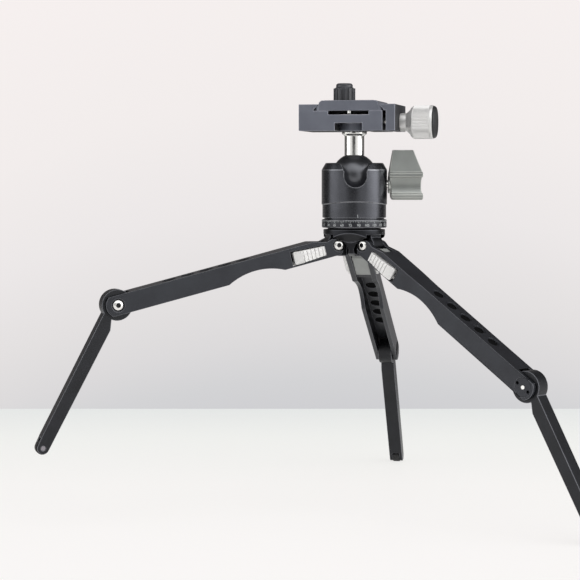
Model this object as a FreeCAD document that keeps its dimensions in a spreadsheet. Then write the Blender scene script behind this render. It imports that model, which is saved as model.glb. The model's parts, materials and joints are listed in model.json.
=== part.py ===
import FreeCAD, Part
import math
import os

import Sketcher

Vector = FreeCAD.Vector
Rotation = FreeCAD.Rotation
Placement = FreeCAD.Placement

# Driving dimensions in millimetres and degrees. Heights called "level" are measured from the
# plane of the hip pins, upwards. Leg sizes are measured along and across the leg.
SIZES = {
    # stance of the legs, as each is set in its lock and at its knee
    "first_leg_azimuth": 198.0,
    "legs": 3,
    "hip_angle_left": 13.8,
    "hip_angle_other": 33.2,
    "knee_angle_left": 61.7,
    "knee_angle_other": 59.5,
    "folded_hip_angle": 88.0,
    # legs
    "hip_radius": 11.2,
    "upper_length": 126.0,
    "lower_length": 84.0,
    "running_clearance": 0.06,
    "side_clearance": 0.1,
    "leg_half_height": 5.25,
    "leg_half_width": 6.6,
    "cheek_half_width": 7.3,
    "channel_half_width": 4.3,
    "web_thickness": 1.8,
    "web_start": 13.8,
    "hip_dip": 6.5,
    "hip_dip_height": 3.45,
    "hip_corner_reach": 3.15,
    "hip_corner_rise": 4.2,
    "cheek_end": 33.0,
    "cheek_blend": 12.0,
    "scallop_start": 33.0,
    "scallop_length": 32.0,
    "scallop_radius": 36.4,
    "knee_ear_radius": 6.5,
    "knuckle_radius": 8.25,
    "knuckle_clearance": 0.5,
    "web_hole_start": 53.0,
    "web_hole_pitch": 10.5,
    "web_holes": 5,
    "web_hole_radius": 2.8,
    "web_hole_depth": 0.8,
    "web_dimple_radius": 3.4,
    "web_dimple_depth": 0.55,
    "web_sink_radius": 3.7,
    "web_sink_depth": 0.45,
    "rib_start": 29.2,
    "rib_thickness": 3.0,
    "rib_depth": 6.45,
    # screws of hip and knee
    "shoulder_radius": 2.0,
    "button_radius": 2.95,
    "button_height": 1.5,
    "button_edge": 0.6,
    "button_crown_radius": 1.9,
    "socket_share": 0.5,
    "socket_depth_share": 0.6,
    "sink_clearance": 0.55,
    "hip_sink_depth": 1.6,
    "knee_sink_depth": 1.3,
    "hip_screw_depth": 3.8,
    "nut_radius": 5.0,
    "nut_thickness": 1.5,
    "nut_fit": 0.05,
    "pin_end_radius": 1.15,
    "spanner_hole_radius": 0.9,
    "spanner_hole_offset": 3.85,
    # lock slider with its two thumb pads
    "slider_start": 7.2,
    "slider_end": 27.0,
    "slider_drop": 0.6,
    "slider_half_height": 3.8,
    "slider_chamfer": 1.0,
    "slider_low_chamfer": 1.6,
    "nose_half_height": 0.6,
    "nose_length": 0.95,
    "nose_taper": 0.7,
    "lock_travel": 1.0,
    "pad_start": 8.6,
    "pad_near_half_height": 2.7,
    "pad_far_half_height": 3.8,
    "pad_proud": 2.3,
    "pad_rim": 0.9,
    "pad_bevel_length": 4.4,
    "pad_near_bevel": 0.9,
    "pad_groove_start": 10.6,
    "pad_groove_pitch": 2.35,
    "pad_grooves": 4,
    "pad_groove_width": 0.45,
    "pad_groove_flare": 0.36,
    "pad_groove_depth": 0.7,
    "slot_clearance": 0.15,
    "spring_bore_radius": 1.8,
    "spring_bore_depth": 9.0,
    "spring_coil_radius": 1.3,
    "spring_half_wire": 0.25,
    "spring_pitch": 3.1,
    # lower leg and foot
    "shank_half_width": 4.05,
    "shank_outer": 4.3,
    "shank_inner": 3.0,
    "shank_neck": 0.85,
    "shank_neck_length": 13.5,
    "ankle_half_height": 3.5,
    "ankle_length": 5.5,
    "foot_ear_radius": 3.15,
    "foot_fork_half_width": 2.15,
    "foot_fork_depth": 4.3,
    "foot_radius": 3.6,
    "foot_half_width": 2.05,
    "foot_pin_radius": 1.25,
    "foot_pin_half_length": 3.95,
    # hub
    "hub_radius": 16.9,
    "hub_top": 9.2,
    "hub_collar_radius": 14.6,
    "hub_rim_top": 8.4,
    "hub_rim_bottom": 3.2,
    "hub_skirt_radius": 12.2,
    "hub_skirt_level": 2.2,
    "hub_waist_radius": 10.6,
    "hub_waist_level": 0.0,
    "hub_neck_radius": 8.7,
    "hub_neck_level": -4.8,
    "hub_tip_radius": 5.2,
    "hub_bottom": -6.2,
    "hub_scoop_top": 6.5,
    "hub_scoop_radius": 11.6,
    "hub_scoop_level": 2.0,
    "hub_slot_top": 5.7,
    "hub_slot_clearance": 0.2,
    "tongue_radius": 6.0,
    "tongue_corner": 4.24,
    "notch_depth": 0.9,
    "notch_half_width": 0.7,
    "notch_taper": 0.8,
    "lock_angle_low": 60.0,
    "head_bolt_radius": 2.5,
    "head_bolt_head_radius": 4.2,
    "head_bolt_head_height": 2.6,
    "head_bolt_end": 17.0,
    "set_screw_radius": 1.0,
    "set_screw_level": 7.05,
    "set_screw_azimuth": -30.0,
    "set_screw_length": 6.0,
    # panning base and housing of the ball head
    "ring_radius": 17.75,
    "ring_bottom": 9.3,
    "ring_top": 13.9,
    "ring_edge": 0.4,
    "spigot_radius": 9.0,
    "spigot_top": 20.0,
    "spigot_fit": 0.08,
    "washer_radius": 16.4,
    "washer_top": 14.7,
    "washer_gap": 0.05,
    "housing_radius": 17.9,
    "housing_top": 44.6,
    "housing_edge_drop": 3.8,
    "housing_edge_inset": 2.2,
    "apron_depth": 0.45,
    "apron_level": 23.6,
    "apron_arc_radius": 94.0,
    "ball_level": 37.4,
    "ball_radius": 12.4,
    "ball_fit": 0.1,
    "notch_clearance": 0.7,
    "flare_half_width": 9.6,
    "flare_shoulder_half_width": 7.2,
    "flare_shoulder_drop": 1.6,
    "flare_drop": 4.6,
    "seat_bore_radius": 10.5,
    "seat_bore_top": 30.5,
    "seat_bore_bottom": 24.0,
    "seat_fit": 0.1,
    "seat_inner_radius": 6.0,
    # ball lock
    "lock_level": 32.7,
    "lock_bore_start": 10.4,
    "plunger_radius": 3.0,
    "plunger_length": 2.8,
    "plunger_room": 0.4,
    "lock_screw_radius": 2.5,
    "lock_screw_start": 15.4,
    "lock_screw_end": 30.0,
    "wing_inner": 18.4,
    "wing_outer": 37.3,
    "wing_boss_radius": 4.8,
    "wing_boss_length": 1.9,
    "wing_top": 51.7,
    "wing_bottom": 24.4,
    "wing_tip_inner": 20.6,
    "wing_tip_outer": 32.1,
    "wing_shoulder": 39.4,
    "wing_tip_half_width": 3.6,
    "wing_blade_half_width": 5.6,
    "wing_ledge_half_width": 7.4,
    "wing_ledge_height": 1.6,
    "wing_scoop_radius": 9.0,
    "wing_scoop_bottom": 29.2,
    "wing_lip_half_width": 7.9,
    "wing_lip_level": 27.2,
    "wing_foot_half_width": 6.6,
    "wing_under": 1.6,
    # stem
    "stem_radius": 5.4,
    "stem_flange_radius": 6.85,
    "stem_flange_start": 59.4,
    "stem_flange_rise": 1.0,
    "stem_top": 61.7,
    "stem_bore_end": 51.0,
    # clamp, in its own frame turned about the stem
    "clamp_turn": -12.2,
    "clamp_bottom": 61.8,
    "clamp_top": 76.0,
    "clamp_left": 27.2,
    "clamp_right": 18.5,
    "clamp_half_depth": 19.0,
    "dovetail_half_width": 19.0,
    "dovetail_floor": 72.5,
    "dovetail_edge": 0.5,
    "dovetail_fit": 0.05,
    "channel_floor": 70.4,
    "clamp_channel_half_width": 11.0,
    "boss_radius": 8.2,
    "boss_notch_half_width": 7.45,
    "boss_notch_height": 4.2,
    "jaw_gap": 1.8,
    "jaw_thickness": 5.0,
    "jaw_travel": 2.4,
    "screw_level": 66.6,
    "clamp_screw_radius": 2.0,
    "clamp_screw_start": 5.0,
    "clamp_screw_bore_end": 4.8,
    "clamp_bolt_radius": 2.5,
    "clamp_bolt_head_radius": 4.6,
    "clamp_bolt_head_height": 2.1,
    "clamp_bolt_end": 52.0,
    "guide_offset": 13.0,
    "guide_radius": 1.0,
    "guide_start": 8.0,
    "guide_end": 24.5,
    "guide_spring_bore": 2.0,
    "guide_spring_depth": 6.0,
    "guide_spring_coil": 1.55,
    "guide_spring_half_wire": 0.2,
    "guide_spring_pitch": 2.4,
    # clamp knob
    "collar_radius": 4.9,
    "collar_length": 3.6,
    "collar_flare": 6.9,
    "collar_flare_length": 2.2,
    "knob_radius": 9.1,
    "knob_length": 14.1,
    "knob_back_edge": 1.5,
    "knob_front_edge": 1.1,
    "knob_cap_radius": 7.5,
    "knob_cap_recess": 1.5,
    "knob_cap_thickness": 1.0,
    "knob_screw_depth": 9.0,
    # quick-release plate and camera screw
    "plate_half_length": 19.0,
    "plate_corner": 3.6,
    "plate_neck_level": 75.8,
    "plate_neck_half_width": 16.15,
    "plate_shoulder": 76.9,
    "plate_top": 78.0,
    "plate_top_half_width": 14.7,
    "plate_pad_half_width": 13.4,
    "plate_pad_half_length": 17.6,
    "plate_pad_recess": 0.5,
    "plate_pad_proud": 0.15,
    "slot_half_length": 5.8,
    "slot_half_width": 3.4,
    "screw_recess_radius": 6.4,
    "screw_recess_top": 75.3,
    "screw_offset": -5.6,
    "pad_opening_radius": 6.4,
    "camera_screw_radius": 3.175,
    "camera_screw_length": 5.4,
    "camera_screw_head_radius": 5.6,
    "camera_screw_head_height": 1.7,
    "retainer_outer_radius": 5.9,
    "retainer_thickness": 0.6,
    "stop_screw_radius": 1.1,
    "stop_screw_drop": 1.4,
    "stop_screw_inset": 3.0,
    "cap_radius": 5.4,
    "cap_rib_radius": 6.0,
    "cap_rib_half_width": 0.55,
    "cap_ribs": 14,
    "cap_rib_top": 85.2,
    "cap_top": 87.9,
    "cap_top_radius": 4.55,
    "cap_top_edge": 0.8,
    "cap_bore_radius": 3.3,
    "cap_bore_top": 84.6,
}

doc = FreeCAD.newDocument("tabletop_tripod")
sheet = doc.addObject("Spreadsheet::Sheet", "sizes")


class Size:
    """A length that holds its value and the sheet expression it comes from."""

    def __init__(self, value, text):
        self.value = float(value)
        self.text = text

    def joined(self, other, sign, value, turned=False):
        mine, theirs = self.text, text_of(other)
        if turned:
            mine, theirs = theirs, mine
        return Size(value, f"({mine} {sign} {theirs})")

    def __add__(self, other):
        return self.joined(other, "+", self.value + value_of(other))

    def __radd__(self, other):
        return self.joined(other, "+", value_of(other) + self.value, True)

    def __sub__(self, other):
        return self.joined(other, "-", self.value - value_of(other))

    def __rsub__(self, other):
        return self.joined(other, "-", value_of(other) - self.value, True)

    def __mul__(self, other):
        return self.joined(other, "*", self.value * value_of(other))

    def __rmul__(self, other):
        return self.joined(other, "*", value_of(other) * self.value, True)

    def __truediv__(self, other):
        return self.joined(other, "/", self.value / value_of(other))

    def __neg__(self):
        return Size(-self.value, f"(0 - {self.text})")


def value_of(number):
    return number.value if isinstance(number, Size) else float(number)


def text_of(number):
    return number.text if isinstance(number, Size) else f"({float(number):.6f})"


def cosine(angle):
    return Size(math.cos(math.radians(angle.value)), f"cos({angle.text} * 1 deg)")


def sine(angle):
    return Size(math.sin(math.radians(angle.value)), f"sin({angle.text} * 1 deg)")


def root(number):
    return Size(math.sqrt(number.value), f"sqrt({number.text})")


class Sheet:
    """The sizes by name, each bound to its cell."""

    def __init__(self, values):
        for row, (name, value) in enumerate(values.items(), 1):
            sheet.set(f"A{row}", name)
            sheet.set(f"B{row}", str(value))
            sheet.setAlias(f"B{row}", name)
            setattr(self, name, Size(value, f"sizes.{name}"))


s = Sheet(SIZES)
doc.recompute()


def bind(thing, name, size):
    """Give a property its value, and its expression where the size comes from the sheet."""
    setattr(thing, name, value_of(size))
    if isinstance(size, Size):
        thing.setExpression(name, size.text)


def new_body(label):
    body = doc.addObject("PartDesign::Body", label)
    body.Label = label
    return body


def origin_feature(body, role):
    return next(f for f in body.Origin.OriginFeatures if f.Role == role)


def new_sketch(body, plane, offset, turn):
    """A sketch on one of the body's planes, moved along its normal and turned about the upright."""
    sketch = body.newObject("Sketcher::SketchObject", "sketch")
    sketch.AttachmentSupport = [(origin_feature(body, f"{plane}_Plane"), "")]
    sketch.MapMode = "FlatFace"
    rotation = Rotation(Vector(0, 1, 0), turn)
    sketch.AttachmentOffset = Placement(rotation.multVec(Vector(0, 0, value_of(offset))), rotation)
    if isinstance(offset, Size):
        for axis, share in (("x", math.sin(math.radians(turn))), ("z", math.cos(math.radians(turn)))):
            sketch.setExpression(f".AttachmentOffset.Base.{axis}", f"{offset.text} * {share:.6f}")
    return sketch


def pin_down(sketch, geometry, position, axis, size):
    """Hold one coordinate of a sketch point at a size measured from the origin."""
    index = sketch.addConstraint(
        Sketcher.Constraint(f"Distance{axis}", -1, 1, geometry, position, value_of(size))
    )
    if isinstance(size, Size):
        sketch.setExpression(f"Constraints[{index}]", size.text)


def draw_circle(sketch, across, up, radius):
    centre = Vector(value_of(across), value_of(up), 0)
    number = sketch.addGeometry(Part.Circle(centre, Vector(0, 0, 1), value_of(radius)))
    pin_down(sketch, number, 3, "X", across)
    pin_down(sketch, number, 3, "Y", up)
    index = sketch.addConstraint(Sketcher.Constraint("Radius", number, value_of(radius)))
    if isinstance(radius, Size):
        sketch.setExpression(f"Constraints[{index}]", radius.text)


def arc_between(start, end, radius):
    """An arc from start to end that turns left for a positive radius and right for a negative one."""
    chord = end - start
    half = chord.Length / 2
    rise = math.sqrt(max(radius**2 - half**2, 0.0))
    left = Vector(-chord.y, chord.x, 0).normalize()
    centre = (start + end) / 2 + left * math.copysign(rise, radius)
    first, last = (start, end) if radius > 0 else (end, start)
    angles = [math.atan2(p.y - centre.y, p.x - centre.x) for p in (first, last)]
    circle = Part.Circle(centre, Vector(0, 0, 1), abs(radius))
    return Part.ArcOfCircle(circle, *angles), rise


def draw_outline(sketch, points):
    """A closed outline. A point (x, y) is reached by a line, and (x, y, radius) by an arc."""
    places = [Vector(value_of(p[0]), value_of(p[1]), 0) for p in points]
    ends = []
    for number, point in enumerate(points):
        start, end = places[number - 1], places[number]
        if len(point) == 2:
            made = sketch.addGeometry(Part.LineSegment(start, end))
            ends.append((made, 1, 2))
            continue
        arc, rise = arc_between(start, end, value_of(point[2]))
        made = sketch.addGeometry(arc)
        ends.append((made, 1, 2) if value_of(point[2]) > 0 else (made, 2, 1))
        if rise < 1e-6:
            axis = "Y" if abs(end.x - start.x) > abs(end.y - start.y) else "X"
            which = 1 if axis == "Y" else 0
            pin_down(sketch, made, 3, axis, (points[number - 1][which] + point[which]) / 2)
            continue
        index = sketch.addConstraint(
            Sketcher.Constraint("Radius", made, abs(value_of(point[2])))
        )
        if isinstance(point[2], Size):
            sign = "" if value_of(point[2]) > 0 else "-1 * "
            sketch.setExpression(f"Constraints[{index}]", sign + point[2].text)
    for number, point in enumerate(points):
        arriving, leaving = ends[number], ends[(number + 1) % len(points)]
        sketch.addConstraint(
            Sketcher.Constraint("Coincident", arriving[0], arriving[2], leaving[0], leaving[1])
        )
        pin_down(sketch, arriving[0], arriving[2], "X", point[0])
        pin_down(sketch, arriving[0], arriving[2], "Y", point[1])


def draw(sketch, shapes):
    """Circles are given as (x, y, radius), outlines as lists of points."""
    for shape in shapes:
        if isinstance(shape, tuple):
            draw_circle(sketch, *shape)
        else:
            draw_outline(sketch, shape)


def pad(body, plane, low, high, *shapes):
    """Material between two levels across a plane, in the outline of the shapes."""
    sketch = new_sketch(body, plane, -1 * high if plane == "XZ" else low, 0)
    draw(sketch, shapes)
    feature = body.newObject("PartDesign::Pad", "pad")
    feature.Profile = sketch
    bind(feature, "Length", high - low)
    return feature


def pocket(body, plane, low, high, *shapes, turn=0):
    """A cut between two levels across a plane, in the outline of the shapes."""
    sketch = new_sketch(body, plane, -1 * low if plane == "XZ" else high, turn)
    draw(sketch, shapes)
    before = body.Tip
    feature = body.newObject("PartDesign::Pocket", "pocket")
    feature.Profile = sketch
    bind(feature, "Length", high - low)
    cuts.append((body, before, feature))
    return feature


def turned(body, *shapes):
    """A full turn about the upright axis of an outline in radius and height."""
    sketch = new_sketch(body, "XZ", 0, 0)
    draw(sketch, shapes)
    feature = body.newObject("PartDesign::Revolution", "turned")
    feature.Profile = sketch
    feature.ReferenceAxis = (sketch, ["V_Axis"])
    feature.Angle = 360
    return feature


def grooved(body, *shapes):
    """A full turn about the upright axis, cut away."""
    sketch = new_sketch(body, "XZ", 0, 0)
    draw(sketch, shapes)
    before = body.Tip
    feature = body.newObject("PartDesign::Groove", "groove")
    feature.Profile = sketch
    feature.ReferenceAxis = (sketch, ["V_Axis"])
    feature.Angle = 360
    cuts.append((body, before, feature))
    return feature


def around(body, features, count):
    """Copies of features spread evenly about the upright axis."""
    pattern = body.newObject("PartDesign::PolarPattern", "around")
    pattern.Originals = features
    pattern.Axis = (origin_feature(body, "Z_Axis"), [""])
    pattern.Angle = 360
    pattern.setExpression("Occurrences", count.text)
    pattern.Occurrences = int(count.value)
    body.Tip = pattern
    return pattern


def along(body, features, pitch, count):
    """Copies of features spread at a pitch along X."""
    pattern = body.newObject("PartDesign::LinearPattern", "along")
    pattern.Originals = features
    pattern.Direction = (origin_feature(body, "X_Axis"), [""])
    bind(pattern, "Length", pitch * (count - 1))
    pattern.setExpression("Occurrences", count.text)
    pattern.Occurrences = int(count.value)
    body.Tip = pattern
    return pattern


def box_outline(left, right, low, high):
    return [(left, low), (right, low), (right, high), (left, high)]


def slot_outline(half_length, radius, centre=0.0):
    """A long hole along X with round ends."""
    left, right = centre - half_length, centre + half_length
    return [(left, -radius, radius), (right, -radius), (right, radius, radius), (left, radius)]


def grouped(label, pieces):
    """Several solids of one kind kept as one sub-part."""
    group = doc.addObject("Part::Compound", label)
    group.Label = label
    group.Links = pieces
    return group


def coil(label, coil_radius, half_wire, pitch, length):
    """A compression spring of square wire that stands on the origin."""
    helix = Part.makeHelix(pitch.value, length - 2 * half_wire.value, coil_radius.value)
    near, far = coil_radius.value - half_wire.value, coil_radius.value + half_wire.value
    side = half_wire.value
    corners = [(near, 0, -side), (far, 0, -side), (far, 0, side), (near, 0, side)]
    section = Part.makePolygon([Vector(*corner) for corner in corners + corners[:1]])
    feature = doc.addObject("Part::Feature", label)
    feature.Label = label
    feature.Shape = Part.Wire(helix.Edges).makePipeShell([section], True, True)
    print(label, "least gap between turns", round(pitch.value - 2 * side, 3))
    return feature


kept = []
cuts = []


def keep(piece, placement):
    piece.Placement = placement
    kept.append(piece)


# Where the legs stand
def drop_of(hip_angle, knee_angle):
    """How far the foot pin lies below the hip pin."""
    upper = s.upper_length.value * math.sin(math.radians(hip_angle))
    lower = s.lower_length.value * math.sin(math.radians(knee_angle))
    return upper + lower


HIP_LEVEL = drop_of(s.hip_angle_other.value, s.knee_angle_other.value) + s.foot_radius.value
LEGS = {
    "left": (0, s.hip_angle_left.value, s.knee_angle_left.value),
    "right": (1, s.hip_angle_other.value, s.knee_angle_other.value),
    "back": (2, s.hip_angle_other.value, s.knee_angle_other.value),
}
LEG_STEP = 360 / s.legs.value


def azimuth_of(number):
    return s.first_leg_azimuth.value + LEG_STEP * number


def hip_place(number):
    """The hip pin of a leg, with X outwards and Z up."""
    turn = Rotation(Vector(0, 0, 1), azimuth_of(number))
    return Placement(Vector(0, 0, HIP_LEVEL) + turn.multVec(Vector(s.hip_radius.value, 0, 0)), turn)


def upper_place(number, hip_angle):
    return hip_place(number).multiply(Placement(Vector(), Rotation(Vector(0, 1, 0), hip_angle)))


def lower_place(number, hip_angle, knee_angle):
    knee = Placement(
        Vector(s.upper_length.value, 0, 0), Rotation(Vector(0, 1, 0), knee_angle - hip_angle)
    )
    return upper_place(number, hip_angle).multiply(knee)


ON_AXIS = Placement(Vector(0, 0, HIP_LEVEL), Rotation())
CLAMP_PLACE = Placement(Vector(0, 0, HIP_LEVEL), Rotation(Vector(0, 0, 1), s.clamp_turn.value))


# Upper leg: a machined channel, open underneath, with cheeks round the lock
def make_upper_leg(label):
    body = new_body(label)
    half = s.leg_half_height
    wide = s.cheek_half_width
    knee = s.upper_length
    ear_drop = root(s.knee_ear_radius * s.knee_ear_radius - half * half)
    scallop_end = s.scallop_start + s.scallop_length
    pad(body, "XZ", -wide, wide, [
        (0, -half),
        (s.hip_corner_reach, s.hip_corner_rise, -half),
        (s.hip_dip, s.hip_dip_height),
        (s.web_start, half),
        (knee + ear_drop, half),
        (knee + ear_drop, -half, -s.knee_ear_radius),
        (scallop_end, -half),
        (s.scallop_start, -half, s.scallop_radius),
    ])
    far = knee + s.knee_ear_radius + 1
    blend = s.cheek_end + s.cheek_blend
    narrow = s.leg_half_width
    pocket(body, "XY", -half - 1, half + 1,
           [(s.cheek_end, wide), (blend, narrow), (far, narrow), (far, wide + 1),
            (s.cheek_end, wide + 1)],
           [(s.cheek_end, -wide), (s.cheek_end, -wide - 1), (far, -wide - 1), (far, -narrow),
            (blend, -narrow)])
    inner = s.channel_half_width
    web_under = half - s.web_thickness
    pocket(body, "XY", -half - 1, web_under, box_outline(-half - 1, far, -inner, inner))
    knuckle_reach = root(s.knuckle_radius * s.knuckle_radius - web_under * web_under)
    web_end = knee - knuckle_reach - s.knuckle_clearance
    pocket(body, "XY", -half, half + 1,
           box_outline(-half - 1, s.web_start, -inner, inner),
           box_outline(web_end, far, -inner, inner))
    pad(body, "XY", half - s.rib_depth - s.web_thickness, web_under + 0.1,
        box_outline(s.rib_start, s.rib_start + s.rib_thickness, -inner - 0.1, inner + 0.1))
    gap = s.slot_clearance
    middle = -s.slider_drop
    near = s.pad_near_half_height + gap
    tall = s.pad_far_half_height + gap
    pocket(body, "XZ", -wide - 1, wide + 1, [
        (s.pad_start - gap, middle - near),
        (s.slider_end, middle - tall),
        (s.slider_end + s.lock_travel + gap, middle - tall),
        (s.slider_end + s.lock_travel + gap, middle + tall),
        (s.slider_end, middle + tall),
        (s.pad_start - gap, middle + near),
    ])
    bore = s.shoulder_radius + s.running_clearance
    pocket(body, "XZ", -wide - 1, wide + 1, (0, 0, bore), (knee, 0, bore))
    sink = s.button_radius + s.sink_clearance
    pocket(body, "XZ", wide - s.hip_sink_depth, wide + 1, (0, 0, sink))
    pocket(body, "XZ", -wide - 1, s.hip_sink_depth - wide, (0, 0, sink))
    pocket(body, "XZ", narrow - s.knee_sink_depth, narrow + 1, (knee, 0, sink))
    pocket(body, "XZ", -narrow - 1, s.nut_thickness - narrow, (knee, 0, s.nut_radius + s.nut_fit))
    rows = [
        (half - s.web_hole_depth, half + 1, s.web_hole_radius),
        (half - s.web_sink_depth, half + 1, s.web_sink_radius),
        (-half - 1, web_under + s.web_dimple_depth, s.web_dimple_radius),
    ]
    for low, high, radius in rows:
        hole = pocket(body, "XY", low, high, (s.web_hole_start, 0, radius))
        doc.recompute()
        along(body, [hole], s.web_hole_pitch, s.web_holes)
        doc.recompute()
    return body


def make_button_screw(label, seat, shank_start, shank_radius):
    """A button-head socket screw along Y whose head rises from its seat."""
    body = new_body(label)
    turned(body, [
        (0, shank_start),
        (shank_radius, shank_start),
        (shank_radius, seat),
        (s.button_radius, seat),
        (s.button_radius, seat + s.button_edge),
        (s.button_crown_radius, seat + s.button_height),
        (0, seat + s.button_height),
    ])
    return body


# Lock slider: a block in the channel whose nose drops into the hub's notches
def make_slider(label):
    body = new_body(label)
    half_width = s.channel_half_width - s.side_clearance
    low = -s.slider_drop - s.slider_half_height
    high = s.slider_half_height - s.slider_drop
    nose = s.nose_half_height
    pad(body, "XZ", -half_width, half_width, [
        (s.slider_start + s.slider_low_chamfer, low),
        (s.slider_end, low),
        (s.slider_end, high),
        (s.slider_start + s.slider_chamfer, high),
        (s.slider_start, high - s.slider_chamfer),
        (s.slider_start, nose),
        (s.slider_start - s.nose_length, s.nose_taper * nose),
        (s.slider_start - s.nose_length, -s.nose_taper * nose),
        (s.slider_start, -nose),
        (s.slider_start, low + s.slider_low_chamfer),
    ])
    pocket(body, "YZ", s.slider_end - s.spring_bore_depth, s.slider_end + 1,
           (0, -s.slider_drop, s.spring_bore_radius))
    return body


def make_pad(label, side):
    """A thumb pad: ribs across it and a scooped bevel at the far end."""
    body = new_body(label)
    inner = s.channel_half_width - s.side_clearance
    face = s.cheek_half_width + s.pad_proud
    rim = s.cheek_half_width + s.pad_rim
    start, end = s.pad_start, s.slider_end - s.slot_clearance
    bevel = end - s.pad_bevel_length
    near, tall = s.pad_near_half_height, s.pad_far_half_height
    middle = -s.slider_drop
    pad(body, "XZ", inner, face, [
        (start, middle - near),
        (end, middle - tall),
        (end, middle + tall),
        (start, middle + near),
    ])
    pocket(body, "XY", middle - tall - 1, middle + tall + 1, [
        (bevel, face),
        (end + 1, rim),
        (end + 1, face + 1),
        (bevel, face + 1),
    ], [
        (start - 1, rim),
        (start + s.pad_near_bevel, face),
        (start + s.pad_near_bevel, face + 1),
        (start - 1, face + 1),
    ])
    slit = s.pad_groove_width
    groove = pocket(body, "XY", middle - tall - 1, middle + tall + 1, [
        (s.pad_groove_start, face - s.pad_groove_depth),
        (s.pad_groove_start + slit, face - s.pad_groove_depth),
        (s.pad_groove_start + slit + s.pad_groove_flare, face + 0.1),
        (s.pad_groove_start - s.pad_groove_flare, face + 0.1),
    ])
    doc.recompute()
    along(body, [groove], s.pad_groove_pitch, s.pad_grooves)
    if side < 0:
        mirrored = doc.addObject("Part::Mirroring", f"{label}_mirrored")
        mirrored.Source = body
        mirrored.Normal = Vector(0, 1, 0)
        return mirrored
    return body


# Lower leg: a tapering bar with a knuckle disc at the knee and a fork at the foot
def make_lower_leg(label):
    body = new_body(label)
    half_width = s.shank_half_width
    disc = s.knuckle_radius
    foot = s.lower_length
    outer_reach = root(disc * disc - s.shank_outer * s.shank_outer)
    inner_reach = root(disc * disc - s.shank_neck * s.shank_neck)
    ankle = s.ankle_half_height
    ear = s.foot_ear_radius
    pad(body, "XZ", -half_width, half_width, [
        (outer_reach, s.shank_outer),
        (0, disc, disc),
        (-disc, 0, disc),
        (0, -disc, disc),
        (inner_reach, -s.shank_neck, disc),
        (s.shank_neck_length, -s.shank_inner),
        (foot, -ear),
        (foot, ear, ear),
        (foot - s.ankle_length, ankle),
    ])
    fork = s.foot_fork_half_width
    pocket(body, "XY", -disc, disc, box_outline(foot - s.foot_fork_depth, foot + ear + 1, -fork, fork))
    pocket(body, "XZ", -half_width - 1, half_width + 1,
           (0, 0, s.shoulder_radius + s.running_clearance),
           (foot, 0, s.foot_pin_radius))
    return body


def make_cylinder(label, radius, low, high, bore=None):
    body = new_body(label)
    shapes = [(0, 0, radius)] + ([(0, 0, bore)] if bore else [])
    pad(body, "XY", low, high, *shapes)
    return body


ALONG_Y = Placement(Vector(), Rotation(Vector(1, 0, 0), -90))
AGAINST_Y = Placement(Vector(), Rotation(Vector(1, 0, 0), 90))
ALONG_X = Placement(Vector(), Rotation(Vector(0, 1, 0), 90))

for name, (number, hip_angle, knee_angle) in LEGS.items():
    at_hip = hip_place(number)
    at_upper = upper_place(number, hip_angle)
    at_lower = lower_place(number, hip_angle, knee_angle)
    at_knee = at_upper.multiply(Placement(Vector(s.upper_length.value, 0, 0), Rotation()))

    keep(make_upper_leg(f"upper_leg_{name}"), at_upper)

    hip_seat = s.cheek_half_width - s.hip_sink_depth
    hip_end = s.channel_half_width - s.hip_screw_depth
    hip_screws = []
    for turn in (ALONG_Y, AGAINST_Y):
        screw = make_button_screw("hip_screw", hip_seat, hip_end, s.shoulder_radius)
        screw.Placement = turn
        hip_screws.append(screw)
    keep(grouped(f"hip_screws_{name}", hip_screws), at_hip)

    knee_seat = s.leg_half_width - s.knee_sink_depth
    knee_screw = make_button_screw(
        f"knee_screw_{name}", knee_seat, s.nut_thickness - s.leg_half_width, s.shoulder_radius
    )
    pad(knee_screw, "XY", -s.leg_half_width, s.nut_thickness - s.leg_half_width + 0.1,
        (0, 0, s.pin_end_radius))
    keep(knee_screw, at_knee.multiply(ALONG_Y))

    nut = new_body(f"knee_nut_{name}")
    pad(nut, "XZ", -s.leg_half_width, s.nut_thickness - s.leg_half_width,
        (0, 0, s.nut_radius), (0, 0, s.pin_end_radius + s.nut_fit),
        (s.spanner_hole_offset, 0, s.spanner_hole_radius),
        (-s.spanner_hole_offset, 0, s.spanner_hole_radius))
    keep(nut, at_knee)

    keep(make_slider(f"lock_slider_{name}"), at_upper)
    pads = [make_pad("thumb_pad", side) for side in (1, -1)]
    keep(grouped(f"lock_pads_{name}", pads), at_upper)

    bore_end = s.slider_end - s.spring_bore_depth + s.lock_travel
    room = s.rib_start.value - bore_end.value - 2 * s.slot_clearance.value
    spring = coil(f"lock_spring_{name}", s.spring_coil_radius, s.spring_half_wire,
                  s.spring_pitch, room)
    spring_start = bore_end.value + s.slot_clearance.value + s.spring_half_wire.value
    at_spring = Placement(Vector(spring_start, 0, -s.slider_drop.value), Rotation())
    keep(spring, at_upper.multiply(at_spring).multiply(ALONG_X))

    keep(make_lower_leg(f"lower_leg_{name}"), at_lower)
    at_foot = at_lower.multiply(Placement(Vector(s.lower_length.value, 0, 0), Rotation()))
    keep(make_cylinder(f"foot_pad_{name}", s.foot_radius, -s.foot_half_width, s.foot_half_width,
                       s.foot_pin_radius + s.running_clearance), at_foot.multiply(ALONG_Y))
    keep(make_cylinder(f"foot_pin_{name}", s.foot_pin_radius - s.running_clearance / 2,
                       -s.foot_pin_half_length, s.foot_pin_half_length), at_foot.multiply(ALONG_Y))


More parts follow.
